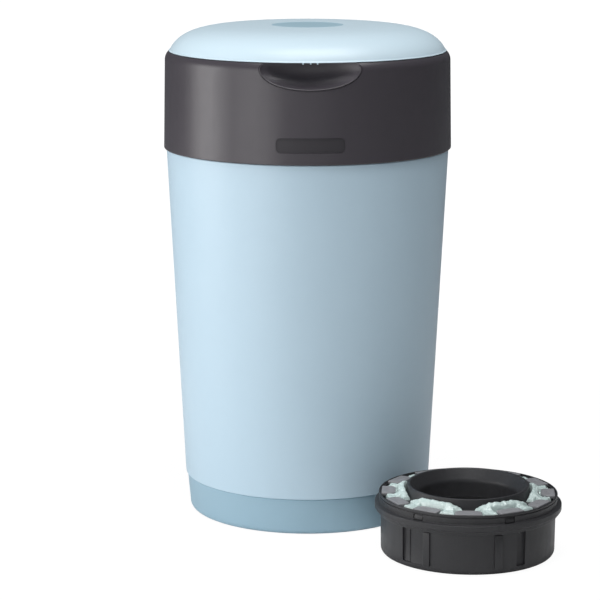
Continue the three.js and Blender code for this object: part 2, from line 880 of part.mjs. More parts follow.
// Clamp ring under the chassis, with a pair of ears for each finger
const fingerHalf = fingerRootWidth / 2;
const fingerEar = (side) => {
  const near = side * (fingerHalf + runningGap);
  const far = near + side * fingerEarThickness;
  const span = [Math.min(near, far), Math.max(near, far)];
  const tip = new THREE.CylinderGeometry(fingerEarRadius, fingerEarRadius, fingerEarThickness, smallSides)
    .translate(0, (near + far) / 2, 0)
    .translate(fingerCircle, 0, fingerPivotZ);
  const stem = block(
    [fingerCircle - fingerEarRadius, fingerCircle + fingerEarRadius],
    span,
    [fingerPivotZ, clampBottom + sink],
  );
  return join(tip, stem);
};
const fingerPinHalf = fingerHalf + runningGap + fingerEarThickness;
const fingerBore = (halfLength) =>
  new THREE.CylinderGeometry(
    fingerPinRadius + boreGap,
    fingerPinRadius + boreGap,
    2 * halfLength,
    smallSides,
  );
const fingerEars = join(fingerEar(1), fingerEar(-1));
const earBores = fingerBore(fingerPinHalf + overrun).translate(fingerCircle, 0, fingerPivotZ);
addPart(
  head,
  "clamp_ring",
  cut(
    join(
      tube(clampInner, clampOuter, clampBottom, clampTop),
      ...around(fingerCount, fingerEars, 0, 180 / fingerCount),
    ),
    ...around(fingerCount, earBores, 0, 180 / fingerCount),
  ),
  charcoal,
);

// Clamp fingers, sprung flaps that hold the film and let a bundle through
const fingerRoot = fingerBarrel / 2;
const fingerPlan = slab(
  [
    [-fingerRoot, -fingerHalf],
    [-fingerReach * fingerBendShare, -fingerTipWidth / 2],
    [-fingerReach, (-fingerTipWidth * fingerTipShare) / 2],
    [-fingerReach, (fingerTipWidth * fingerTipShare) / 2],
    [-fingerReach * fingerBendShare, fingerTipWidth / 2],
    [-fingerRoot, fingerHalf],
  ],
  -fingerThickness / 2,
  fingerThickness / 2,
).rotateY(THREE.MathUtils.degToRad(-fingerSlope));
const fingerShape = cut(
  join(
    fingerPlan,
    new THREE.CylinderGeometry(fingerBarrel, fingerBarrel, fingerRootWidth, smallSides),
  ),
  fingerBore(fingerHalf + overrun),
);
const fingerPin = new THREE.CylinderGeometry(
  fingerPinRadius,
  fingerPinRadius,
  2 * fingerPinHalf,
  smallSides / 2,
);
for (let i = 0; i < fingerCount; i++) {
  const station = new THREE.Group();
  station.rotation.z = THREE.MathUtils.degToRad((180 + 360 * i) / fingerCount);
  head.add(station);
  const seat = [fingerCircle, 0, fingerPivotZ];
  addPart(station, `clamp_finger_${i + 1}`, fingerShape, linerGrey).position.set(...seat);
  addPart(station, `clamp_pin_${i + 1}`, fingerPin, steel).position.set(...seat);
}

// Film cutter: a housing against the front of the sleeve, with a slider and its blade in a channel
const cutter = new THREE.Group();
head.add(cutter);
const cutterLow = sleeveFloorBottom + cutterRise;
const cutterBack = -(sleeveOuter - cutterDepth / 2);
const cutterFront = -(sleeveOuter + cutterDepth);
const channelY = cutterFront + cutterDepth / 2;
const cutterHalf = cutterLength / 2;
const channelEnd = cutterHalf - cutterEnd;
const channelLow = cutterLow + (cutterHeight - channelHeight) / 2;
const across = (width) => [channelY - width / 2, channelY + width / 2];
addPart(
  head,
  "cutter_housing",
  cut(
    block([-cutterHalf, cutterHalf], [cutterFront, cutterBack], [cutterLow, cutterLow + cutterHeight]),
    rod(sleeveOuter + seam, cutterLow - overrun, cutterLow + cutterHeight + overrun, innerSides),
    block([-channelEnd, channelEnd], across(channelWidth), [channelLow, channelLow + channelHeight]),
    block([-channelEnd, channelEnd], across(slitWidth), [cutterLow - overrun, channelLow + overrun]),
  ),
  charcoal,
);
const sliderStart = runningGap - channelEnd;
const sliderEnd = sliderStart + sliderLength;
const gripTop = cutterLow - runningGap;
const gripBottom = gripTop - sliderGrip;
const neckEnd = sliderStart + sliderNeck;
const slidingWidth = channelWidth - 2 * runningGap;
const neckWidth = slitWidth - 2 * runningGap;
addPart(
  cutter,
  "cutter_slider",
  join(
    block(
      [sliderStart, sliderEnd],
      across(slidingWidth),
      [channelLow + seam, channelLow + channelHeight - runningGap],
    ),
    block([sliderStart, neckEnd], across(neckWidth), [gripTop - sink, channelLow + sink]),
    block([sliderStart, sliderEnd], across(sliderGripWidth), [gripBottom, gripTop]),
  ),
  linerGrey,
);
const bladeLow = gripTop + seam;
const bladeHigh = channelLow;
addPart(
  cutter,
  "cutter_blade",
  slab(
    [
      [neckEnd + seam, bladeLow],
      [neckEnd + seam + bladeLength, bladeLow],
      [neckEnd + seam + bladeLength / 2, bladeHigh],
      [neckEnd + seam, bladeHigh],
    ],
    -bladeThickness / 2,
    bladeThickness / 2,
  )
    .rotateX(Math.PI / 2)
    .translate(0, channelY, 0),
  steel,
);

// Cassette tray: a trough round a bore, with recessed panels in its side and hooks for the cover
const skirtLow = flangeTop - skirtDrop;
const traySection = [
  [coreRadius, 0],
  [cassetteFoot - cassetteRound, 0],
  [cassetteFoot - cassetteRound * bevelShare, cassetteRound * bevelShare],
  [cassetteFoot, cassetteRound],
  [cassetteTop, trayHeight],
  [cassetteTop - trayWall, trayHeight],
  [cassetteFoot - trayWall, trayFloor + cassetteRound],
  [cassetteFoot - trayWall - cassetteRound, trayFloor],
  [coreOuter, trayFloor],
  [coreOuter, coreHeight],
  [coreRadius, coreHeight],
];
const front = -90;
const onSides = (places, inner, outer) =>
  places.flatMap(([fromFront, halfAngle]) =>
    around(
      sideRepeats,
      sector(inner, outer, front + fromFront, halfAngle, sideMargin, skirtLow - seam, 2),
    ),
  );
const channels = onSides(sideChannels, cassetteFoot - channelDepth, cassetteTop + overrun);
const ribs = onSides(sideRibs, cassetteFoot - sink, cassetteTop + ribProud);
const snapLow = skirtLow + snapRise;
const hook = block(
  [cassetteTop - trayWall / 2, cassetteTop + snapProud],
  [-snapWidth / 2 + runningGap, snapWidth / 2 - runningGap],
  [snapLow + seam, snapLow + snapHeight - 2 * seam],
);
const snapFirst = front + snapFromFront;
const trayShape = join(
  cut(turned(traySection), ...channels),
  ...ribs,
  ...around(snapCount, hook, 0, snapFirst),
);

// Cassette cover: a stepped flange, a web with windows, and a collar that flares down to the bore
const skirtInner = cassetteTop + seam;
const bandTop = flangeTop - rimHeight - flangeBevel;
const coverSection = [
  [skirtInner, skirtLow],
  [bandFoot, skirtLow],
  [bandFoot, bandTop - flangeBand - flangeBevel],
  [flangeRadius, bandTop - flangeBand],
  [flangeRadius, bandTop],
  [rimRadius, bandTop + flangeBevel],
  [rimRadius, flangeTop],
  [rimRadius - rimWall, flangeTop],
  [rimRadius - rimWall, webTop],
  [funnelFoot, webTop],
  [lipRadius, lipHeight],
  [lipRadius - lipWall, lipHeight],
  [boreTop - boreWall, webBottom],
  [boreTop - boreWall, lipHeight - boreDepth],
  [boreTop, lipHeight - boreDepth],
  [boreTop, coreHeight + seam],
  [coreOuter, coreHeight + seam],
  [coreOuter + boreWall, webBottom],
  [skirtInner, webBottom],
];
const spokeAngle = THREE.MathUtils.radToDeg(spokeWidth / (windowInner + windowOuter));
const webTab = block(
  [windowOuter - tabLength, windowOuter + overrun],
  [-tabWidth / 2, tabWidth / 2],
  [webBottom - 2 * overrun, webTop + 2 * overrun],
);
const webWindow = cut(
  sector(
    windowInner,
    windowOuter,
    0,
    180 / windowCount - spokeAngle,
    webBottom - overrun,
    webTop + overrun,
    6,
  ),
  ...[-1, 0, 1].map((side) => turnedBy(webTab, (180 / windowCount) * side)),
);
const snapWindow = block(
  [skirtInner - overrun, flangeRadius + overrun],
  [-snapWidth / 2, snapWidth / 2],
  [snapLow, snapLow + snapHeight],
);
const coverShape = cut(
  turned(coverSection),
  ...around(windowCount, webWindow),
  ...around(snapCount, snapWindow, 0, snapFirst),
);

// Film pack: a ring that fills the trough, with its top in pleats that rise and fall round the ring
function pleatedRing() {
  const inner = coreOuter + filmGap;
  const outer = cassetteFoot - trayWall - filmGap;
  const span = outer - inner;
  const low = trayFloor + seam;
  const filmTop = webBottom - filmGap - pleatDepth / 2;
  const section = [
    [inner, low, 0],
    [outer - cassetteRound, low, 0],
    [outer, low + cassetteRound, 0],
    [outer - filmGap, filmTop - 2 * pleatDepth, 0],
    [outer - span * crestShare, filmTop, 1],
    [inner + span * hollowShare, filmTop, -1],
    [inner, filmTop - 2 * pleatDepth, 0],
  ];
  const sides = 2 * pleatCount;
  const positions = [];
  const faces = [];
  for (let i = 0; i < sides; i++) {
    const wave = i % 2 ? 1 : -1;
    for (const [r, z, swing] of section) {
      const [x, y] = polar(r, (360 * i) / sides);
      positions.push(x, y, z + (wave * swing * pleatDepth) / 2);
    }
  }
  const count = section.length;
  for (let i = 0; i < sides; i++) {
    for (let j = 0; j < count; j++) {
      const a = i * count + j;
      const b = i * count + ((j + 1) % count);
      const c = ((i + 1) % sides) * count + j;
      const d = ((i + 1) % sides) * count + ((j + 1) % count);
      faces.push(a, c, b, b, c, d);
    }
  }
  const geometry = new THREE.BufferGeometry();
  geometry.setAttribute("position", new THREE.Float32BufferAttribute(positions, 3));
  geometry.setIndex(faces);
  return geometry;
}
const filmShape = pleatedRing();

// The cassette in the carrier, and the one that stands beside the bin
const spare = new THREE.Group();
spare.position.set(spareX, spareY, 0);
spare.rotation.z = THREE.MathUtils.degToRad(spareTurn);
bin.add(spare);
const fitted = new THREE.Group();
fitted.position.z = cassetteZ;
carrier.add(fitted);
for (const [place, name] of [[fitted, "fitted"], [spare, "spare"]]) {
  addPart(place, `${name}_cassette_tray`, trayShape, cassettePlastic);
  addPart(place, `${name}_cassette_cover`, coverShape, cassettePlastic);
  addPart(place, `${name}_film_pack`, filmShape, film);
}

export default bin;
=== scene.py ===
# A nappy bin with a domed lid, and the film cassette that stands beside it.
# Sizes in the dictionaries are millimetres and degrees. The scene itself is in metres.

import math

import bmesh
import bpy
import numpy as np
from mathutils import Matrix, Vector


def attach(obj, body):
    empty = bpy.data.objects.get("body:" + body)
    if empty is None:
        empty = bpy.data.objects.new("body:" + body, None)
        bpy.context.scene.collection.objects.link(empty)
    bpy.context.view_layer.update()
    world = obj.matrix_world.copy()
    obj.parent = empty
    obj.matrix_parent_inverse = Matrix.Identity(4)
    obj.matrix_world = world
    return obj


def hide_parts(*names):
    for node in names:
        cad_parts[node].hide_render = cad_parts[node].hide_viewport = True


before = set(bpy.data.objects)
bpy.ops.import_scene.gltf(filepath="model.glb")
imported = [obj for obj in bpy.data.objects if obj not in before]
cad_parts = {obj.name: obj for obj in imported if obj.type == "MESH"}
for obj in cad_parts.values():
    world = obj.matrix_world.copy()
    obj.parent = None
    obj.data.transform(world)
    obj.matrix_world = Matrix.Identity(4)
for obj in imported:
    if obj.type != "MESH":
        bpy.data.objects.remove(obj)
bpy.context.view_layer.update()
scene = bpy.context.scene
mm = 0.001
print("frame loaded:", len(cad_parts), "nodes")


# A dictionary whose values are read as attributes, such as view.distance
class Sizes(dict):
    __getattr__ = dict.__getitem__


# Camera, at the photograph's place
view = Sizes(
    distance=2200, height=624.9, aside=-6.9, turn=0.95, pitchDown=11.1, lens=145.26, sensor=36, reach=50000,
)
cameraData = bpy.data.cameras.new("camera")
cameraData.lens = view.lens
cameraData.sensor_width = view.sensor
cameraData.clip_end = view.reach * mm
camera = bpy.data.objects.new("camera", cameraData)
turnRound = Matrix.Rotation(math.radians(-view.turn), 4, "Z")
camera.location = turnRound @ Vector((view.aside, -view.distance, view.height)) * mm
camera.rotation_euler = (math.radians(90 - view.pitchDown), 0, math.radians(-view.turn))
scene.collection.objects.link(camera)
scene.camera = camera

# Lamps: two low windows on the left, a soft front, and a softbox overhead
lampHeart = (0, 0, 300)
lamps = {
    "window": Sizes(place=(-1094, -150, 380), size=(560, 700), power=5.5, tint=(1, 0.99, 0.985)),
    "quarter": Sizes(place=(-707, -843, 380), size=(620, 700), power=3.4, tint=(1, 0.99, 0.985)),
    "front": Sizes(place=(0, -3000, 900), size=(1400, 1400), power=5, tint=(0.99, 0.99, 1)),
    "overhead": Sizes(place=(120, -400, 1900), size=(1300, 1000), power=29.5, tint=(1, 1, 1)),
}
for name, lamp in lamps.items():
    data = bpy.data.lights.new(name, "AREA")
    data.shape = "RECTANGLE"
    data.size, data.size_y = (side * mm for side in lamp.size)
    data.energy = lamp.power
    data.color = lamp.tint
    made = bpy.data.objects.new(name, data)
    made.location = Vector(lamp.place) * mm
    made.rotation_euler = (Vector(lampHeart) * mm - made.location).to_track_quat("-Z", "Y").to_euler()
    made.visible_camera = False
    scene.collection.objects.link(made)


# A wrapped socket: its operators add Math nodes, and node() adds any other node to its tree
class Wire:
    def __init__(self, tree, socket=None):
        self.tree = tree
        self.socket = socket

    def node(self, kind, values=None, output=0, **settings):
        made = self.tree.nodes.new(kind)
        for key, value in settings.items():
            setattr(made, key, value)
        for key, value in (values or {}).items():
            if isinstance(value, Wire):
                self.tree.links.new(value.socket, made.inputs[key])
            else:
                made.inputs[key].default_value = value
        return Wire(self.tree, made.outputs[output])

    def finish(self, kind, last):
        made = self.tree.nodes.new(kind)
        self.tree.links.new(last.socket, made.inputs[0])

    def math(self, operation, first, second=0.0, clamp=False):
        return self.node("ShaderNodeMath", {0: first, 1: second}, operation=operation, use_clamp=clamp)

    def __add__(self, other):
        return self.math("ADD", self, other)

    def __sub__(self, other):
        return self.math("SUBTRACT", self, other)

    def __rsub__(self, other):
        return self.math("SUBTRACT", other, self)

    def __mul__(self, other):
        return self.math("MULTIPLY", self, other)

    def __rtruediv__(self, other):
        return self.math("DIVIDE", other, self)

    __radd__ = __add__
    __rmul__ = __mul__


def blendColours(wire, share, first, second):
    return wire.node("ShaderNodeMix", {0: share, 6: first, 7: second}, 2, data_type="RGBA")


# An sRGB colour of 0 to 255 as a linear one
def tint(red, green, blue):
    def linear(level):
        level = level / 255
        return level / 12.92 if level <= 0.04045 else ((level + 0.055) / 1.055) ** 2.4

    return (linear(red), linear(green), linear(blue), 1)


# World: plain light on the object, white behind it
worldLook = Sizes(light=(0.86, 0.93, 1, 1), strength=0.1)
world = bpy.data.worlds.new("studio")
world.use_nodes = True
world.node_tree.nodes.clear()
air = Wire(world.node_tree)
plainAir = air.node("ShaderNodeBackground", {"Color": worldLook.light, "Strength": worldLook.strength})
whiteAir = air.node("ShaderNodeBackground", {"Color": (1, 1, 1, 1), "Strength": 1.0})
seen = air.node("ShaderNodeLightPath", output="Is Camera Ray")
air.finish("ShaderNodeOutputWorld", air.node("ShaderNodeMixShader", {0: seen, 1: plainAir, 2: whiteAir}))
scene.world = world
scene.view_settings.view_transform = "Standard"


# Finishes
def newMaterial(name):
    made = bpy.data.materials.new(name)
    made.use_nodes = True
    made.node_tree.nodes.clear()
    wire = Wire(made.node_tree)
    return made, wire, wire.node("ShaderNodeTexCoord", output="Object")


def noiseOf(wire, place, scale, detail=2.0, roughness=0.5):
    values = {"Vector": place, "Scale": scale, "Detail": detail, "Roughness": roughness}
    return wire.node("ShaderNodeTexNoise", values)


def stretched(wire, place, scaleZ):
    return wire.node("ShaderNodeMapping", {"Vector": place, "Scale": (1, 1, scaleZ)})


def finishMaterial(made, wire, look, height, values):
    bump = {"Strength": look.bump, "Distance": look.bumpDepth, "Height": height}
    normal = wire.node("ShaderNodeBump", bump)
    shader = wire.node("ShaderNodeBsdfPrincipled", {**values, "Normal": normal})
    wire.finish("ShaderNodeOutputMaterial", shader)
    return made


# Moulded plastic: a fine spark-eroded grain, slow unevenness from the mould, and a little dulling
plasticLook = Sizes(
    cloudScale=14, grainScale=1500, swirlScale=90, streakScale=160, cloud=0.5, swirl=0.25, speck=0.12,
    roughSwing=0.1, grain=0.35, wave=3.0, streak=0.12, bump=0.25, bumpDepth=0.00012, specular=0.4,
)


def mouldedPlastic(name, **changes):
    look = Sizes(plasticLook, **changes)
    made, wire, place = newMaterial(name)
    cloud = noiseOf(wire, place, look.cloudScale, 3.0)
    grain = noiseOf(wire, place, look.grainScale, 1.0)
    swirl = noiseOf(wire, place, look.swirlScale, 4.0, 0.62)
    streak = noiseOf(wire, stretched(wire, place, 0.12), look.streakScale, 2.0)
    shade = blendColours(wire, cloud * look.cloud + swirl * look.swirl, look.colour, look.deeper)
    specks = wire.math("MULTIPLY", (grain - 0.5) * look.speck, 1.0, True)
    height = grain * look.grain + cloud * look.wave + streak * look.streak
    return finishMaterial(made, wire, look, height, {
        "Base Color": blendColours(wire, specks, shade, look.get("fleck", look.deeper)),
        "Roughness": (swirl - 0.5) * look.roughSwing + (streak - 0.5) * look.roughSwing + look.roughness,
        "Specular IOR Level": look.specular,
    })


# Soft rubber: matt, with a dusty bloom
def softRubber(name, **values):
    look = Sizes(values)
    made, wire, place = newMaterial(name)
    bloom = noiseOf(wire, place, look.bloomScale, 5.0, 0.65)
    pores = noiseOf(wire, place, look.poreScale, 2.0)
    return finishMaterial(made, wire, look, pores + bloom, {
        "Base Color": blendColours(wire, bloom * look.bloom, look.colour, look.dust),
        "Roughness": (bloom - 0.5) * look.roughSwing + look.roughness,
        "Specular IOR Level": look.specular,
    })


# Zinc-plated steel: turned marks round the piece, and a cloudy plating
def platedSteel(name, **values):
    look = Sizes(values)
    made, wire, place = newMaterial(name)
    plating = noiseOf(wire, place, look.platingScale, 4.0)
    marks = noiseOf(wire, stretched(wire, place, look.markStretch), look.markScale, 2.0)
    return finishMaterial(made, wire, look, marks, {
        "Base Color": blendColours(wire, plating, look.colour, look.deeper),
        "Metallic": 1.0,
        "Roughness": (plating - 0.5) * look.roughSwing + look.roughness,
    })


# Thin film, gathered: a milky mint sheet with sharp creases that catch the light, and painted shade, a darker
# mint, along the creases
def gatheredFilm(name, **values):
    look = Sizes(values)
    made, wire, place = newMaterial(name)
    ridge = wire.math("ABSOLUTE", noiseOf(wire, place, look.creaseScale, 4.0, 0.6) - 0.5) * 2
    slowRidge = wire.math("ABSOLUTE", noiseOf(wire, place, look.foldScale, 3.0, 0.55) - 0.5) * 2
    # Painted shade: along the creases the colour goes to the darker mint, and between them to the plain one
    depth = wire.math("MULTIPLY", ridge * 0.6 + slowRidge * 0.8, 1.4, True)
    return finishMaterial(made, wire, look, ridge * 0.5 + slowRidge, {
        "Base Color": blendColours(wire, depth, look.fold, look.colour),
        "Roughness": ridge * look.roughSwing + look.roughness,
        "Specular IOR Level": look.specular,
    })


paleBlue = mouldedPlastic(
    "paleBluePlastic", colour=tint(188, 211, 225), deeper=tint(180, 204, 219), roughness=0.42,
)
# The lid's blue is the tub's pale blue painted lighter, as painted light on the up-facing dome, and a little
# less rough
litLidBlue = mouldedPlastic(
    "litLidBluePlastic", colour=tint(197, 216, 226), deeper=tint(191, 211, 222), roughness=0.38,
)
inlayBlue = mouldedPlastic(
    "inlayBluePlastic", colour=tint(164, 194, 208), deeper=tint(160, 191, 205), roughness=0.3,
    roughSwing=0.03, wave=1.0,
)
bandBlue = mouldedPlastic(
    "bandBluePlastic", colour=tint(154, 184, 200), deeper=tint(147, 178, 194), roughness=0.46,
)
charcoal = mouldedPlastic(
    "charcoalPlastic", colour=tint(66, 62, 68), deeper=tint(58, 55, 60), fleck=tint(84, 82, 86),
    roughness=0.36, specular=0.5,
)
plateDark = mouldedPlastic(
    "plateDarkPlastic", colour=tint(56, 54, 58), deeper=tint(50, 48, 52), roughness=0.5, specular=0.3,
)
mechanismDark = mouldedPlastic(
    "mechanismDarkPlastic", colour=tint(62, 61, 64), deeper=tint(52, 51, 55), fleck=tint(92, 91, 95),
    roughness=0.5,
)
linerGrey = mouldedPlastic(
    "linerGreyPlastic", colour=tint(150, 153, 157), deeper=tint(140, 143, 148), roughness=0.45,
)
cassetteDark = mouldedPlastic(
    "cassetteDarkPlastic", colour=tint(50, 50, 52), deeper=tint(40, 40, 43), fleck=tint(96, 96, 98),
    roughness=0.44, cloud=0.7, speck=0.3, roughSwing=0.22, specular=0.42,
)
# The rim tabs' grey is the cassette's black plastic painted lighter, as painted light on their tops
litCassetteBlack = mouldedPlastic(
    "litCassetteBlackPlastic", colour=tint(140, 140, 143), deeper=tint(120, 120, 124), roughness=0.46,
    roughSwing=0.2,
)
padRubber = softRubber(
    "padRubber", colour=tint(40, 40, 42), dust=tint(84, 84, 84), bloomScale=260, poreScale=1900, bloom=0.5,
    roughness=0.8, roughSwing=0.2, bump=0.35, bumpDepth=0.00015, specular=0.25,
)
steel = platedSteel(
    "platedSteel", colour=tint(190, 192, 196), deeper=tint(166, 168, 172), platingScale=420, markScale=1400,
    markStretch=9, roughness=0.3, roughSwing=0.25, bump=0.2, bumpDepth=0.00005,
)
# Its second, darker mint is painted shade in the creases
mintFilm = gatheredFilm(
    "mintFilm", colour=tint(222, 235, 232), fold=tint(186, 204, 201), creaseScale=190, foldScale=70,
    roughness=0.22, roughSwing=0.2, bump=0.8, bumpDepth=0.0006, specular=0.6,
)
print("finishes made")
# Mesh helpers, which take millimetres
def addObject(name, points, faces):
    mesh = bpy.data.meshes.new(name)
    mesh.from_pydata([Vector(point) * mm for point in points], [], faces)
    made = bpy.data.objects.new(name, mesh)
    scene.collection.objects.link(made)
    return made


# A closed outline of (radius, height) or (radius, height, rounding) corners, with those corners rounded
def rounded(corners, steps=5):
    made = []
    for i, corner in enumerate(corners):
        here = Vector(corner[:2])
        if len(corner) < 3:
            made.append(here)
            continue
        before = Vector(corners[i - 1][:2]) - here
        after = Vector(corners[(i + 1) % len(corners)][:2]) - here
        half = before.angle(after) / 2
        back = min(corner[2] / math.tan(half), before.length * 0.48, after.length * 0.48)
        middle = here + (before.normalized() + after.normalized()).normalized() * (back / math.cos(half))
        first = here + before.normalized() * back - middle
        last = here + after.normalized() * back - middle
        sweep = math.pi - 2 * half
        for k in range(steps + 1):
            t = k / steps
            arm = first * math.sin(sweep * (1 - t)) + last * math.sin(sweep * t)
            made.append(middle + arm / math.sin(sweep))
    return made


# The same outline with rows no longer than one length, and a short row beside each end of a long one
def spaced(outline, row, beside=0.6):
    made = []
    for i, here in enumerate(outline):
        after = outline[(i + 1) % len(outline)]
        length = (after - here).length
        made.append(here)
        if length < 4 * beside or max(here.x, after.x) < beside:
            continue
        steps = math.ceil(length / row)
        shares = {beside / length, 1 - beside / length} | {k / steps for k in range(1, steps)}
        made.extend(here.lerp(after, share) for share in sorted(shares))
    return made


# The signed area is above zero where an outline runs anticlockwise
def anticlockwise(outline):
    return sum(a.x * b.y - b.x * a.y for a, b in zip(outline, outline[1:] + outline[:1])) > 0


# A closed outline turned about Z
def turned(name, corners, sides=180, row=9, steps=5):
    outline = spaced(rounded(corners, steps), row)
    if not anticlockwise(outline):
        outline.reverse()
    points, starts, faces = [], [], []
    for corner in outline:
        starts.append(len(points))
        count = 1 if corner.x < 1e-6 else sides
        for k in range(count):
            angle = 2 * math.pi * k / sides
            points.append((corner.x * math.cos(angle), corner.x * math.sin(angle), corner.y))
    for i, start in enumerate(starts):
        j = (i + 1) % len(outline)
        lowPole = outline[i].x < 1e-6
        highPole = outline[j].x < 1e-6
        if lowPole and highPole:
            continue
        for k in range(sides):
            near, far = k, (k + 1) % sides
            if lowPole:
                faces.append((start, starts[j] + far, starts[j] + near))
            elif highPole:
                faces.append((start + near, start + far, starts[j]))
            else:
                faces.append((start + near, start + far, starts[j] + far, starts[j] + near))
    outlines[name] = outline
    return addObject(name, points, faces)


outlines = {}


# A plain cylinder, most often one that cuts a hole
def disc(name, radius, low, high, sides=24):
    return turned(name, [(0, low), (radius, low), (radius, high), (0, high)], sides, 40)


# An outline in a plane, raised along an axis: "Z" takes (x, y) points, "X" (y, z) and "Y" (x, z)
def raised(name, outline, low, high, axis="Z"):
    put = {
        "Z": lambda a, b, c: (a, b, c),
        "X": lambda a, b, c: (c, a, b),
        "Y": lambda a, b, c: (a, -c, b),
    }[axis]
    if not anticlockwise([Vector(point[:2]) for point in outline]):
        outline = list(reversed(outline))
    count = len(outline)
    points = [put(a, b, low) for a, b in outline] + [put(a, b, high) for a, b in outline]
    faces = [tuple(reversed(range(count))), tuple(range(count, 2 * count))]
    faces += [(i, (i + 1) % count, count + (i + 1) % count, count + i) for i in range(count)]
    return addObject(name, points, faces)


def polar(radius, degrees):
    return radius * math.cos(math.radians(degrees)), radius * math.sin(math.radians(degrees))


# Part of a ring between two radii and two angles
def sector(name, inner, outer, middle, halfAngle, low, high, steps=8):
    swing = [middle + halfAngle * (2 * k / steps - 1) for k in range(steps + 1)]
    outline = [polar(outer, angle) for angle in swing] + [polar(inner, angle) for angle in reversed(swing)]
    return raised(name, outline, low, high)


def block(name, spanX, spanY, spanZ):
    (left, right), (front, back) = spanX, spanY
    return raised(name, [(left, front), (right, front), (right, back), (left, back)], *spanZ)


def roundedRectangle(halfWidth, halfHeight, corner, steps=6):
    return rounded([
        (-halfWidth, -halfHeight, corner), (halfWidth, -halfHeight, corner),
        (halfWidth, halfHeight, corner), (-halfWidth, halfHeight, corner),
    ], steps)


def moved(made, offset=(0, 0, 0), turn=0, axis="Z"):
    turning = Matrix.Rotation(math.radians(turn), 4, axis)
    made.data.transform(Matrix.Translation(Vector(offset) * mm) @ turning)
    return made


def copyOf(template, name):
    made = bpy.data.objects.new(name, template.data.copy())
    scene.collection.objects.link(made)
    return made


# The object's evaluated mesh takes the place of its mesh and modifiers
def settle(made):
    depsgraph = bpy.context.evaluated_depsgraph_get()
    mesh = bpy.data.meshes.new_from_object(made.evaluated_get(depsgraph))
    made.modifiers.clear()
    made.data = mesh
    return made


def combine(body, tool, operation):
    modifier = body.modifiers.new("combine", "BOOLEAN")
    modifier.operation = operation
    modifier.solver = "MANIFOLD"
    modifier.object = tool
    settle(body)
    bpy.data.objects.remove(tool)
    return body


def cut(body, *tools):
    for tool in tools:
        combine(body, tool, "DIFFERENCE")
    return body


def join(body, *tools):
    for tool in tools:
        combine(body, tool, "UNION")
    return body


def common(body, tool):
    return combine(body, tool, "INTERSECT")


def softened(made, width, segments=3, angle=30):
    modifier = made.modifiers.new("soften", "BEVEL")
    modifier.width = width * mm
    modifier.segments = segments
    modifier.limit_method = "ANGLE"
    modifier.angle_limit = math.radians(angle)
    return settle(made)


# Copies of an object's mesh spread round Z, made by Geometry Nodes
def makeSpreadTree():
    tree = bpy.data.node_groups.new("spreadRound", "GeometryNodeTree")
    face = tree.interface
    kinds = {"shape": "Geometry", "count": "Int", "radius": "Float", "first": "Float", "paint": "Material"}
    for name, kind in kinds.items():
        face.new_socket(name, in_out="INPUT", socket_type="NodeSocket" + kind)
    face.new_socket("shape", in_out="OUTPUT", socket_type="NodeSocketGeometry")
    wire = Wire(tree)
    given = Sizes({name: wire.node("NodeGroupInput", output=name) for name in kinds})
    angle = wire.node("GeometryNodeInputIndex") * (2 * math.pi / given.count)
    turn = wire.node("ShaderNodeCombineXYZ", {"Z": angle})
    ring = wire.node("GeometryNodeMeshCircle", {"Vertices": given.count, "Radius": given.radius})
    placing = {"Points": ring, "Instance": given.shape, "Rotation": turn}
    copies = wire.node("GeometryNodeInstanceOnPoints", placing)
    first = wire.node("ShaderNodeCombineXYZ", {"Z": given.first})
    placed = wire.node("GeometryNodeTransform", {"Geometry": copies, "Rotation": first})
    real = wire.node("GeometryNodeRealizeInstances", {"Geometry": placed})
    painted = wire.node("GeometryNodeSetMaterial", {"Geometry": real, "Material": given.paint})
    wire.finish("NodeGroupOutput", painted)
    return tree


spreadTree = makeSpreadTree()


def setInputs(modifier, values):
    for item in modifier.node_group.interface.items_tree:
        if item.in_out == "INPUT" and item.name in values:
            modifier[item.identifier] = values[item.name]


def spread(made, count, radius=0.0, first=0.0, paint=None):
    modifier = made.modifiers.new("spread", "NODES")
    modifier.node_group = spreadTree
    setInputs(modifier, {"count": count, "radius": radius * mm, "first": math.radians(first), "paint": paint})
    return settle(made)


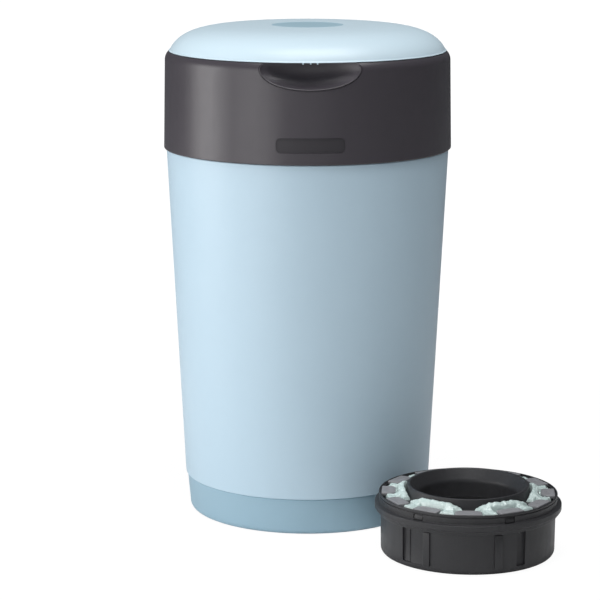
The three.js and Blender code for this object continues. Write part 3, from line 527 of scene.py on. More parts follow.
# Smooth shading. Faces that lie on the turned outline take its own normals, so that a cut leaves no marks
def smoothed(made, outline=None, sharp=38, reach=0.06):
    mesh = made.data
    mesh.shade_smooth()
    mesh.set_sharp_from_angle(angle=math.radians(sharp))
    if outline is None:
        return made
    points = np.empty(len(mesh.vertices) * 3)
    mesh.vertices.foreach_get("co", points)
    points = points.reshape(-1, 3) / mm
    flat = np.column_stack([np.hypot(points[:, 0], points[:, 1]), points[:, 2]])
    starts = np.array([tuple(p) for p in outline])
    ends = np.roll(starts, -1, axis=0)
    along = ends - starts
    lengths = np.maximum(np.linalg.norm(along, axis=1), 1e-9)
    facing = np.column_stack([along[:, 1], -along[:, 0]]) / lengths[:, None]
    before = np.roll(facing, 1, axis=0)
    joined = facing + before
    joined /= np.maximum(np.linalg.norm(joined, axis=1), 1e-9)[:, None]
    soft = (facing * before).sum(axis=1) > math.cos(math.radians(sharp))
    atStart = np.where(soft[:, None], joined, facing)
    atEnd = np.where(np.roll(soft, -1)[:, None], np.roll(joined, -1, axis=0), facing)
    normals = np.zeros((len(mesh.loops), 3))
    for face in mesh.polygons:
        corners = flat[list(face.vertices)]
        middle = corners.mean(axis=0)
        share = np.clip(((middle - starts) * along).sum(axis=1) / lengths**2, 0, 1)
        gap = np.linalg.norm(starts + along * share[:, None] - middle, axis=1)
        k = int(gap.argmin())
        if gap[k] > reach or np.abs((corners - starts[k]) @ facing[k]).max() > reach:
            continue
        shares = np.clip((corners - starts[k]) @ along[k] / lengths[k] ** 2, 0, 1)
        tilt = atStart[k] * (1 - shares[:, None]) + atEnd[k] * shares[:, None]
        tilt /= np.linalg.norm(tilt, axis=1)[:, None]
        places = points[list(face.vertices)]
        lean = tilt[:, 0] / np.maximum(np.hypot(places[:, 0], places[:, 1]), 1e-9)
        found = np.column_stack([lean * places[:, 0], lean * places[:, 1], tilt[:, 1]])
        if (found.mean(axis=0) * np.array(face.normal)).sum() > 0.5:
            normals[face.loop_start : face.loop_start + face.loop_total] = found
    mesh.normals_split_custom_set(normals.tolist())
    return made


# A finished piece: its paint, the body that it rides on, its slot (not used), and the CAD nodes that it
# stands for
def place(made, paint, body, slot, *standsFor):
    made.data.name = made.name
    if paint:
        made.data.materials.clear()
        made.data.materials.append(paint)
    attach(made, body)
    if standsFor:
        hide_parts(*standsFor)


def placeTurned(made, *where):
    place(smoothed(made, outlines[made.name]), *where)


# Floor: it shows white, and keeps the object's shadow
floorLook = Sizes(
    side=30000, drop=0.3, colour=(0.8, 0.8, 0.8, 1), glow=0.9, strength=1.06, near=0.35, far=0.95,
)
floorPaint, wire, spot = newMaterial("studioFloor")
lit = wire.node("ShaderNodeBsdfDiffuse", {"Color": floorLook.colour})
glow = wire.node("ShaderNodeEmission", {"Color": (1, 1, 1, 1), "Strength": floorLook.strength})
seen = wire.node("ShaderNodeLightPath", output="Is Camera Ray")
span = {
    "Value": wire.node("ShaderNodeVectorMath", {0: spot}, "Value", operation="LENGTH"),
    "From Min": floorLook.near,
    "From Max": floorLook.far,
}
away = wire.node("ShaderNodeMapRange", span)
share = seen * (away * (1 - floorLook.glow) + floorLook.glow)
wire.finish("ShaderNodeOutputMaterial", wire.node("ShaderNodeMixShader", {0: share, 1: lit, 2: glow}))
half = floorLook.side / 2
floor = addObject(
    "floor",
    [(x, y, -floorLook.drop) for x, y in ((-half, -half), (half, -half), (half, half), (-half, half))],
    [(0, 1, 2, 3)],
)
floor.data.materials.append(floorPaint)
print("floor laid")


# A screw, head down: a domed head with a cross recess, and a thread on its shank
screw = Sizes(
    head=3.4, headHeight=1.4, shank=1.5, root=1.15, pitch=0.9, tip=2.2, cross=1.9, slot=0.62, deep=0.85,
    gap=0.3,
)


def placeScrews(name, body, node, circle, first, seat, length):
    corners = [(0, -screw.headHeight), (screw.head * 0.55, -screw.headHeight, 1.2),
               (screw.head, -screw.headHeight * 0.45, 0.4), (screw.head, 0, 0.15), (screw.shank, 0)]
    z = screw.pitch
    while z < length - screw.tip:
        corners += [(screw.root, z), (screw.shank, z + screw.pitch / 2)]
        z += screw.pitch
    made = turned(name, [*corners, (screw.root, z), (0, length)], 20, 40)
    for halfX, halfY in ((screw.cross, screw.slot / 2), (screw.slot / 2, screw.cross)):
        heights = (-screw.headHeight - 1, screw.deep - screw.headHeight)
        cut(made, block("slot", (-halfX, halfX), (-halfY, halfY), heights))
    spread(moved(smoothed(made), (0, 0, seat - screw.gap)), 4, circle, first, steel)
    place(made, None, body, "steel", *(f"{node}_{i}" for i in range(1, 5)))


# Four hollow posts that screws go up into
def screwPosts(sizes):
    return spread(turned("posts", [
        (sizes.hole, sizes.postFoot, 0.2), (sizes.post, sizes.postFoot, 0.4), (sizes.post, *sizes.postNeck),
        (sizes.post + sizes.postFlare, sizes.postTop), (0, sizes.postTop), (0, sizes.holeTop),
        (sizes.hole, sizes.holeEnd),
    ], 32, 40), 4, sizes.postCircle, sizes.postFirst)


# Base band: a shallow pan with flush rubber feet and four screws up into the tub
band = Sizes(
    foot=109, top=112, height=33.1, plate=3.2, wall=2.8, footRound=4.5, topRound=0.9,
    padCircle=92, padRadius=9, padHeight=1.1, screwCircle=70, pocket=2, sink=3.7, hole=1.8, holeEnd=6,
    screwLength=12.2, gap=0.3,
)
baseBand = turned("baseBand", [
    (0, 0), (band.foot, 0, band.footRound), (band.top, band.height, band.topRound),
    (band.top - band.wall, band.height, 0.6),
    (band.foot - band.wall, band.plate, band.footRound), (0, band.plate),
])
pocket = disc("pocket", band.padRadius + band.gap, -1, band.padHeight + band.gap, 48)
sink = turned("sink", [
    (0, -1), (band.sink, -1), (band.sink, band.pocket), (band.hole, band.pocket), (band.hole, band.holeEnd),
    (0, band.holeEnd),
], 32, 40)
cut(baseBand, spread(pocket, 4, band.padCircle, 45), spread(sink, 4, band.screwCircle, 0))
placeTurned(baseBand, bandBlue, "tub", "band_blue", "base_band")

footPads = turned("footPads", [
    (0, 0.3), (2.2, 0.3, 0.1), (2.6, 0, 0.1), (4.2, 0, 0.1), (4.6, 0.3, 0.1), (5.6, 0.3, 0.1), (6, 0, 0.1),
    (band.padRadius, 0, 0.35), (band.padRadius, band.padHeight, 0.2), (0, band.padHeight),
], 48, 40)
spread(smoothed(footPads), 4, band.padCircle, 45, padRubber)
place(footPads, None, "tub", "rubber", *(f"foot_pad_{i}" for i in range(1, 5)))
placeScrews("baseScrews", "tub", "base_screw", band.screwCircle, 0, band.pocket, band.screwLength)

# Tub, with the neck that the head drops over
tub = Sizes(
    bottom=33.4, top=336.4, foot=113.4, topRadius=128.7, wall=2.6, floor=36.2, innerRound=4.5,
    footEdge=0.9, topEdge=1.1, neck=125.3, neckTop=356.4, neckWall=2.6,
    post=4, postFoot=3.5, postNeck=(30.4, 3), postFlare=3, postTop=34, hole=1.8, holeEnd=24.4, holeTop=25.4,
    postCircle=70, postFirst=0,
)
tubShell = turned("tubShell", [
    (0, tub.bottom), (tub.foot, tub.bottom, tub.footEdge), (tub.topRadius, tub.top, tub.topEdge),
    (tub.neck, tub.top, 0.5), (tub.neck, tub.neckTop, 0.9), (tub.neck - tub.neckWall, tub.neckTop, 0.9),
    (tub.neck - tub.neckWall, tub.top, 6), (tub.topRadius - tub.wall, tub.top - 2 * tub.wall, 6),
    (tub.foot - tub.wall, tub.floor, tub.innerRound), (0, tub.floor),
], 200, 12)
join(tubShell, screwPosts(tub))
placeTurned(tubShell, paleBlue, "tub", "pale_blue", "tub_shell")
print("tub and base made")

# Collar of the head, with its land, deck, finger scoop, plate recess and hinge ears
collar = Sizes(
    foot=131, top=129.58, bottom=336.7, shoulder=416.7, landTop=424.1, land=126.45, landRound=0.7,
    wall=2.6, landThickness=2.9, throat=108, throatWall=2.6, deckTop=418.3, deckBottom=415.7,
    opening=97, edge=0.9,
    post=4, postFoot=403.3, postNeck=(419, 2), postFlare=1, postTop=423.2,
    hole=1.8, holeEnd=413.4, holeTop=414.5, postCircle=112, postFirst=45,
)


# The shoulder is an arc that leaves the wall upright and ends at the land
def shoulderArc(steps=14):
    fall, rise = collar.top - collar.land, collar.landTop - collar.shoulder
    bow = 2 * math.atan2(fall, rise)
    bend = rise / math.sin(bow)
    line = []
    for k in range(steps + 1):
        turn = bow * k / steps
        line.append((collar.top - bend * (1 - math.cos(turn)), collar.shoulder + bend * math.sin(turn)))
    return line


def collarRadiusAt(z):
    radii, heights = zip((collar.foot, collar.bottom), *shoulderArc())
    return float(np.interp(z, heights, radii))


# The collar's face between two heights, moved in by a depth
def faceLine(low, high, depth, steps=24):
    heights = (low + (high - low) * k / steps for k in range(steps + 1))
    return [(collarRadiusAt(z) - depth, z) for z in heights]


collarSection = [
    (collar.foot, collar.bottom, collar.edge), *shoulderArc()[:-1],
    (collar.land, collar.landTop, collar.landRound),
    (collar.throat, collar.landTop, 0.5), (collar.throat, collar.deckTop, 0.8),
    (collar.opening, collar.deckTop, 0.5), (collar.opening, collar.deckBottom, 0.5),
    (collar.throat + collar.throatWall, collar.deckBottom, 0.5),
    (collar.throat + collar.throatWall, collar.landTop - collar.landThickness, 0.8),
    (collar.land - collar.wall, collar.landTop - collar.landThickness, 1.5),
    (collar.top - collar.wall, collar.shoulder - 3.5, 1.5),
    (collar.foot - collar.wall, collar.bottom, 0.4),
]

# Scoop: an ellipsoid cut out of the front, with a wall behind it, and a groove and a bead along its rim
scoop = Sizes(
    middle=(0, -130.4, 420.7), reach=(49.8, 18, 19), wall=2.4, grooveNear=0.5, grooveFar=1.15, grooveDeep=0.8,
    bead=0.55, beadOut=0.15,
)


def ball(name, grow, rings=56, sides=112):
    circle = [(math.cos(a), math.sin(a)) for a in (math.pi * (k / rings - 0.5) for k in range(1, rings))]
    made = turned(name, [(0, -1), *circle, (0, 1)], sides, 40)
    outlines.pop(name)
    stretch = Matrix.Diagonal((*(reach + grow for reach in scoop.reach), 1))
    made.data.transform(Matrix.Translation(Vector(scoop.middle) * mm) @ stretch)
    return made


# Where the ellipsoid meets the collar's face, from one end of the rim to the other
def scoopRim(steps):
    spanX, spanY, spanZ = scoop.reach
    _, middleY, middleZ = scoop.middle

    def outside(x, z):
        radius = collarRadiusAt(z)
        y = -math.sqrt(max(radius**2 - x**2, 0))
        return (x / spanX) ** 2 + ((y - middleY) / spanY) ** 2 + ((z - middleZ) / spanZ) ** 2 > 1

    rim = []
    top = math.asin((collar.landTop - 0.4 - middleZ) / spanX)
    for k in range(steps + 1):
        angle = -math.pi - top + (math.pi + 2 * top) * k / steps
        near, far = 0.0, spanX
        for _ in range(40):
            middle = (near + far) / 2
            x, z = middle * math.cos(angle), middleZ + middle * math.sin(angle)
            if z > collar.landTop - 0.4 or outside(x, z):
                far = middle
            else:
                near = middle
        x, z = near * math.cos(angle), middleZ + near * math.sin(angle)
        rim.append(Vector((x, -math.sqrt(collarRadiusAt(z) ** 2 - x**2), z)))
    return rim


# A round rod along a line of points
def rodAlong(name, line, radius, sides=12):
    points, faces = [], []
    for i, here in enumerate(line):
        along = (line[min(i + 1, len(line) - 1)] - line[max(i - 1, 0)]).normalized()
        side = along.cross(Vector((0, 1, 0))).normalized()
        up = side.cross(along)
        for k in range(sides):
            angle = 2 * math.pi * k / sides
            points.append(here + (side * math.cos(angle) + up * math.sin(angle)) * radius)
    for i in range(len(line) - 1):
        for k in range(sides):
            near, far = i * sides + k, i * sides + (k + 1) % sides
            faces.append((near, near + sides, far + sides, far))
    last = (len(line) - 1) * sides
    faces += [tuple(range(sides)), tuple(reversed(range(last, last + sides)))]
    made = addObject(name, points, faces)
    settleNormals(made)
    return made


def settleNormals(made):
    shape = bmesh.new()
    shape.from_mesh(made.data)
    bmesh.ops.recalc_face_normals(shape, faces=shape.faces)
    shape.to_mesh(made.data)
    shape.free()


# Bare plate in its recess
plate = Sizes(
    halfWidth=30, halfHeight=6.5, corner=4, middle=353.8, recess=0.9, face=0.35, gap=0.3, border=0.9,
    borderFace=0.12, far=(100, 135), reach=14,
)


def plateBlank(name, shrink):
    shape = roundedRectangle(plate.halfWidth - shrink, plate.halfHeight - shrink, plate.corner - shrink)
    return moved(raised(name, shape, *plate.far, "Y"), (0, 0, plate.middle))


def faceRing(name, shallow, deep):
    low, high = plate.middle - plate.reach, plate.middle + plate.reach
    return turned(name, [*faceLine(low, high, shallow, 6), *reversed(faceLine(low, high, deep, 6))], 180, 40)


# Hinge at the back
hinge = Sizes(
    y=128.6, z=419.1, radius=4.8, barrel=12, gap=0.6, ear=8, reach=10.6, root=2.4, pin=2, pinHalf=20.6,
    bore=2.3, notchFace=122.4,
)


def hingeArc(radius, first, last, steps):
    turns = (polar(radius, first + (last - first) * k / steps) for k in range(steps + 1))
    return [(hinge.y + across, hinge.z + up) for across, up in turns]


def crossRod(name, radius, low, high, sides=48):
    return raised(name, hingeArc(radius, 0, 360 - 360 / sides, sides - 1), low, high, "X")


def earOutline():
    back = hinge.y - hinge.reach
    return [*hingeArc(hinge.radius, -90, 90, 24), (back, hinge.z + hinge.root), (back, hinge.z - hinge.root)]


headCollar = turned("headCollar", collarSection, 240, 10)
envelope = turned("envelope", [
    (0, collar.bottom), (collar.foot, collar.bottom, collar.edge), *shoulderArc(), (0, collar.landTop),
], 240, 10)
join(headCollar, common(ball("scoopWall", scoop.wall), envelope))
for side in (-1, 1):
    near, far = sorted((side * (hinge.barrel + hinge.gap), side * (hinge.barrel + hinge.gap + hinge.ear)))
    join(headCollar, softened(raised("ear", earOutline(), near, far, "X"), 0.5, 2, 50))
join(headCollar, screwPosts(collar))
groove = cut(ball("groove", scoop.grooveFar), ball("grooveCore", scoop.grooveNear))
grooveSpan = (395, 424.4)
grooveBand = turned("grooveBand", [
    *faceLine(*grooveSpan, -2), *reversed(faceLine(*grooveSpan, scoop.grooveDeep)),
], 240, 40)
cut(
    headCollar,
    common(groove, grooveBand),
    ball("scoop", 0),
    common(plateBlank("plateCut", 0), faceRing("plateDepth", -1, plate.recess)),
    block("notch", (-hinge.barrel - hinge.gap, hinge.barrel + hinge.gap), (hinge.notchFace, hinge.y + 6),
          (hinge.z - hinge.radius - 0.6, collar.landTop + 1)),
    crossRod("bore", hinge.bore, -30, 30),
)
placeTurned(headCollar, charcoal, "head", "charcoal", "head_collar")

beadLine = [point + Vector((point.x, point.y, 0)).normalized() * scoop.beadOut for point in scoopRim(160)]
place(smoothed(rodAlong("scoopBead", beadLine, scoop.bead)), charcoal, "head", "charcoal")

deep = plate.recess - plate.gap
collarPlate = common(plateBlank("collarPlate", plate.gap), faceRing("plateFace", plate.face, deep))
border = common(plateBlank("border", plate.gap), faceRing("borderFace", plate.borderFace, deep))
cut(border, plateBlank("borderInside", plate.gap + plate.border))
join(collarPlate, border)
place(smoothed(collarPlate), plateDark, "head", "plate_grey", "collar_plate")

pin = crossRod("hingePin", hinge.pin, -hinge.pinHalf, hinge.pinHalf, 32)
place(smoothed(softened(pin, 0.4, 2)), steel, "head", "steel", "hinge_pin")
print("collar made")

# Lid: a dome of superellipse section, with its hinge arm and barrel, and a plain round inlay
dome = Sizes(
    rim=424.7, start=420.7, rise=26.9, radius=126.2, side=6.2, crown=1.65, wall=2.4, lip=0.7,
    discRadius=32, discDepth=0.7, gap=0.3,
    post=4, postFoot=422.8, postNeck=(443.2, 1.5), postFlare=1.5, postTop=446,
    hole=1.8, holeEnd=432.9, holeTop=434, postCircle=70, postFirst=45,
    screwLength=10.8, armFoot=122.7, armStep=125, armTop=4.56,
)


def domeLine(inset, steps):
    rise, radius = dome.rise - inset, dome.radius - inset
    first = math.asin(((dome.rim - dome.start) / rise) ** (dome.crown / 2))
    made = []
    for k in range(steps):
        t = first + (math.pi / 2 - first) * (k / steps) ** 1.25
        across, up = math.cos(t) ** (2 / dome.side), math.sin(t) ** (2 / dome.crown)
        made.append((radius * across, dome.start + rise * up))
    return made


domeTop = dome.start + dome.rise
outer = [point for point in domeLine(0, 64) if point[0] > dome.discRadius + 3]
inner = [point for point in domeLine(dome.wall, 40) if point[0] > 12]
recess = dome.discRadius + dome.gap
lipRadius = outer[0][0] + dome.lip
seat = domeTop - dome.discDepth - dome.gap
lidShell = turned("lidShell", [
    (lipRadius, dome.rim, 0.25), (lipRadius, dome.rim + dome.lip * 0.7, 0.3),
    *(point for point in outer if point[1] > dome.rim + dome.lip * 1.8), (recess, domeTop, 0.35),
    (recess, seat), (0, seat), (0, domeTop - dome.wall), *reversed(inner[1:]), (*inner[0], 0.5),
], 240, 10, 6)
join(lidShell, screwPosts(dome))
arm = raised("arm", [
    (dome.armFoot, hinge.z), (hinge.y, hinge.z), (hinge.y, hinge.z + dome.armTop), (dome.armStep, dome.rim),
    (dome.armStep, dome.rim + 0.8), (dome.armFoot, dome.rim + 0.8),
], -hinge.barrel, hinge.barrel, "X")
join(lidShell, arm, crossRod("barrel", hinge.radius, -hinge.barrel, hinge.barrel))
cut(lidShell, crossRod("bore", hinge.bore, -13, 13))
placeTurned(lidShell, litLidBlue, "lid", "pale_blue", "lid_shell")

low = domeTop - dome.discDepth
lidDisc = turned("lidDisc", [
    (0, low), (dome.discRadius, low, 0.15), (dome.discRadius, domeTop, 0.3),
    (dome.discRadius - 2.4, domeTop, 0.1), (dome.discRadius - 2.8, domeTop - 0.25, 0.1),
    (dome.discRadius - 3.2, domeTop - 0.05, 0.1), (0, domeTop - 0.05),
], 180, 10)
placeTurned(lidDisc, inlayBlue, "lid", "pale_blue", "lid_disc")

# Three small grip ribs under the lid's front lip
lipRibs = Sizes(places=(-6.3, 0.2, 6.2), halfWidth=0.65, spanY=(-124.4, -121.6), spanZ=(423.3, 425.4))
ribs = None
for x in lipRibs.places:
    rib = block("lipRibs", (x - lipRibs.halfWidth, x + lipRibs.halfWidth), lipRibs.spanY, lipRibs.spanZ)
    softened(rib, 0.25, 2)
    ribs = join(ribs, rib) if ribs else rib
place(smoothed(ribs), litLidBlue, "lid", "pale_blue")

# Liner, gasket and screws of the lid
liner = Sizes(
    face=420.3, radius=106.6, wall=2.2, chamfer=1.6, flangeZ=427, flange=1.9, flangeRadius=117,
    rings=(84, 52, 22), ringHalf=1.6, ringFace=1.2, proud=0.6, holes=(419, 424),
)
rings = []
for radius in liner.rings:
    low = liner.face - liner.proud
    rings += [(radius + liner.ringHalf, liner.face, 0.2), (radius + liner.ringFace, low, 0.2),
              (radius - liner.ringFace, low, 0.2), (radius - liner.ringHalf, liner.face, 0.2)]
top = liner.face + liner.wall
lidLiner = turned("lidLiner", [
    *reversed([(0, liner.face), *reversed(rings)]), (0, top), (liner.radius - liner.wall, top, 0.8),
    (liner.radius - liner.wall, liner.flangeZ + liner.flange, 0.8),
    (liner.flangeRadius, liner.flangeZ + liner.flange, 0.4), (liner.flangeRadius, liner.flangeZ, 0.4),
    (liner.radius, liner.flangeZ, 0.6), (liner.radius, liner.face, liner.chamfer),
], 180, 10)
cut(lidLiner, spread(disc("holes", dome.hole, *liner.holes), 4, dome.postCircle, dome.postFirst))
placeTurned(lidLiner, linerGrey, "lid", "liner_grey", "lid_liner")

gasket = Sizes(inner=108.6, outer=112.6, bottom=424.4, top=426.7, bead=0.5)
crease = gasket.bottom + gasket.bead
lidGasket = turned("lidGasket", [
    (gasket.inner, crease + 0.2, 0.2), (gasket.inner + 1, gasket.bottom, 0.4),
    (gasket.inner + 1.8, crease, 0.2), (gasket.outer - 1.8, crease, 0.2),
    (gasket.outer - 1, gasket.bottom, 0.4), (gasket.outer, crease + 0.2, 0.2),
    (gasket.outer, gasket.top, 0.3), (gasket.inner, gasket.top, 0.3),
], 180, 10)
placeTurned(lidGasket, padRubber, "lid", "rubber", "lid_gasket")
placeScrews("lidScrews", "lid", "lid_screw", dome.postCircle, dome.postFirst, liner.face, dome.screwLength)
print("lid made")

# Film cassette: a tray round a bore, a cover with windows, and gathered film. Heights are above its foot
tray = Sizes(
    foot=76, top=76.6, height=50, wall=2.4, floor=2, round=4, core=46.3, coreWall=2.2, coreHeight=43.3,
    channels=((-43.9, 3.3, 1.8), (-35.2, 5.3, 0.5), (36.4, 3.3, 2)), ribs=((-27.4, 2.3), (19.7, 2.7)),
    low=5.5, high=35.2, overrun=2, ribProud=1.1, ribRoot=0.8, edge=0.35,
    hookFirst=-63.35, hookHalf=4.05, hookLow=45.3, hookStep=1.5, hookHigh=49.9, hookProud=1.1,
)


def makeTray():
    made = turned("tray", [
        (tray.core, 0, 0.5), (tray.foot, 0, tray.round), (tray.top, tray.height, 0.4),
        (tray.top - tray.wall, tray.height, 0.4), (tray.foot - tray.wall, tray.floor, tray.round),
        (tray.core + tray.coreWall, tray.floor, 0.8), (tray.core + tray.coreWall, tray.coreHeight, 0.5),
        (tray.core, tray.coreHeight, 0.5),
    ], 180, 9)
    for turn in (-90, 90):
        for fromFront, half, deep in tray.channels:
            span = (turn + fromFront, half, tray.low, tray.high)
            tool = sector("channel", tray.foot - deep, tray.top + tray.overrun, *span)
            cut(made, softened(tool, tray.edge, 2, 50))
        for fromFront, half in tray.ribs:
            span = (turn + fromFront, half, tray.low, tray.high)
            tool = sector("rib", tray.foot - tray.ribRoot, tray.top + tray.ribProud, *span)
            join(made, softened(tool, tray.edge, 2, 50))
    hookRoot = tray.top - tray.wall / 2
    hook = raised("hook", [
        (hookRoot, tray.hookLow), (tray.top + tray.hookProud, tray.hookLow),
        (tray.top + tray.hookProud, tray.hookLow + tray.hookStep), (tray.top + 0.3, tray.hookHigh),
        (hookRoot, tray.hookHigh),
    ], -tray.hookHalf, tray.hookHalf, "Y")
    join(made, spread(softened(hook, 0.25, 2, 40), 6, 0, tray.hookFirst))
    return smoothed(made, outlines["tray"])


cover = Sizes(
    inner=76.9, skirt=78.9, low=36.2, step=80.6, stepLow=38.2, band=81.6, bandLow=40.3, bandHigh=44.8,
    neck=77.9, grooveLow=50.6, grooveHigh=51.4, groove=77.2, rim=78, top=53.5, rimWall=1.1,
    ledge=75.4, ledgeTop=51.8, webTop=52.5, webLow=50.5, webFall=1.6, funnelFoot=54.8, lip=53.2, lipTop=60.5,
    lipWall=2.3, bore=45.9, boreWall=1.5, boreFoot=36, coreTop=43.6, coreOuter=48.5,
    windowInner=55.9, windowOuter=75.6, windowRound=2, windowSwell=8, spokeHalf=4.3, spokeWiden=1.6,
    snapHalf=4.65, snapLow=45, snapHigh=50.3, tabHalf=11.6, tabInner=63.4, tabRound=5, tabTop=53.8,
    windowHalf=27, dip=4.2, dipAt=70, dipDeep=0.45, dipStretch=(0.9, 1.7, 0.6, 1),
)


# One window of the web: its sides swell, so that the spokes between windows have waists
def windowTool():
    middle = (cover.windowInner + cover.windowOuter) / 2
    halfDepth = (cover.windowOuter - cover.windowInner) / 2
    halfWidth = math.radians(cover.windowHalf) * middle
    line = []
    plain = rounded([
        (-halfWidth, -halfDepth, cover.windowSwell), (halfWidth, -halfDepth, cover.windowSwell),
        (halfWidth, halfDepth, cover.windowRound), (-halfWidth, halfDepth, cover.windowRound),
    ], 6)
    for x, y in spaced(plain, 1.2, 0):
        radius = middle + y
        spoke = cover.spokeHalf + cover.spokeWiden * (y / halfDepth) ** 2
        line.append(polar(radius, x / halfWidth * (30 - math.degrees(spoke / radius))))
    return raised("window", line, cover.webLow - 1, cover.webTop + 1)


def makeCover():
    made = turned("cover", [
        (cover.inner, cover.low, 0.3), (cover.skirt, cover.low, 0.5), (cover.skirt, cover.stepLow, 0.2),
        (cover.step, cover.stepLow + 0.5, 0.3), (cover.step, cover.bandLow - 0.7, 0.2),
        (cover.band, cover.bandLow, 0.35), (cover.band, cover.bandHigh, 0.4),
        (cover.neck, cover.bandHigh + 0.6, 0.3), (cover.neck, cover.grooveLow, 0.15),
        (cover.groove, cover.grooveLow, 0.1), (cover.groove, cover.grooveHigh, 0.1),
        (cover.rim, cover.grooveHigh, 0.3), (cover.rim, cover.top, 0.6),
        (cover.rim - cover.rimWall, cover.top, 0.5), (cover.rim - cover.rimWall, cover.ledgeTop, 0.2),
        (cover.ledge, cover.ledgeTop, 0.1), (cover.ledge, cover.webTop, 0.2),
        (cover.funnelFoot, cover.webTop - cover.webFall, 1.5), (cover.lip, cover.lipTop, 0.5),
        (cover.lip - cover.lipWall, cover.lipTop, 0.9), (cover.bore - cover.boreWall, cover.webLow, 6),
        (cover.bore - cover.boreWall, cover.boreFoot, 0.5), (cover.bore, cover.boreFoot, 0.5),
        (cover.bore, cover.coreTop, 0.2), (cover.coreOuter, cover.coreTop, 0.3),
        (cover.coreOuter + cover.boreWall, cover.webLow, 0.5), (cover.inner, cover.webLow, 0.5),
    ], 180, 9)
    cut(made, spread(windowTool(), 6, 0, 0))
    depth, width = (cover.inner - 1, cover.band + 1), (-cover.snapHalf, cover.snapHalf)
    snap = block("snap", depth, width, (cover.snapLow, cover.snapHigh))
    cut(made, spread(softened(snap, 0.4, 2, 50), 6, 0, tray.hookFirst))
    return smoothed(made, outlines["cover"])


# Tabs on the rim, one to a window and one to a spoke, each with a shallow thumb hollow in the top, and
# painted grey as painted light on the black plastic
def makeTabs():
    reach, half = cover.ledge, cover.tabHalf
    shape = rounded([
        (cover.tabInner, -half, cover.tabRound), (reach, -half), (reach, half),
        (cover.tabInner, half, cover.tabRound),
    ], 8)
    tab = softened(raised("tab", shape, cover.webLow, cover.tabTop), 0.6, 3, 60)
    ring = (polar(cover.dip, 7.5 * k - 90) for k in range(1, 24))
    sphere = [(0, 0), *((radius, up + cover.dip) for radius, up in ring), (0, 2 * cover.dip)]
    dip = turned("dip", sphere, 40, 40)
    middle = Vector((cover.dipAt, 0, cover.tabTop - cover.dipDeep)) * mm
    dip.data.transform(Matrix.Translation(middle) @ Matrix.Diagonal(cover.dipStretch))
    return spread(smoothed(cut(tab, dip)), 12, 0, 0, litCassetteBlack)


# The film's form follows a rule, so Geometry Nodes make it: a gathered ring that swells up between the tabs
filmForm = Sizes(
    around=640, section=120, middle=61.5, halfWidth=12.3, low=2.4, high=49.7, corner=3.4, pleats=52,
    pleatDepth=0.3, crumple=0.8, swell=3.4, rise=5.0, tabHalf=11.2, tabStart=62.6, spokeHalf=4.4,
)


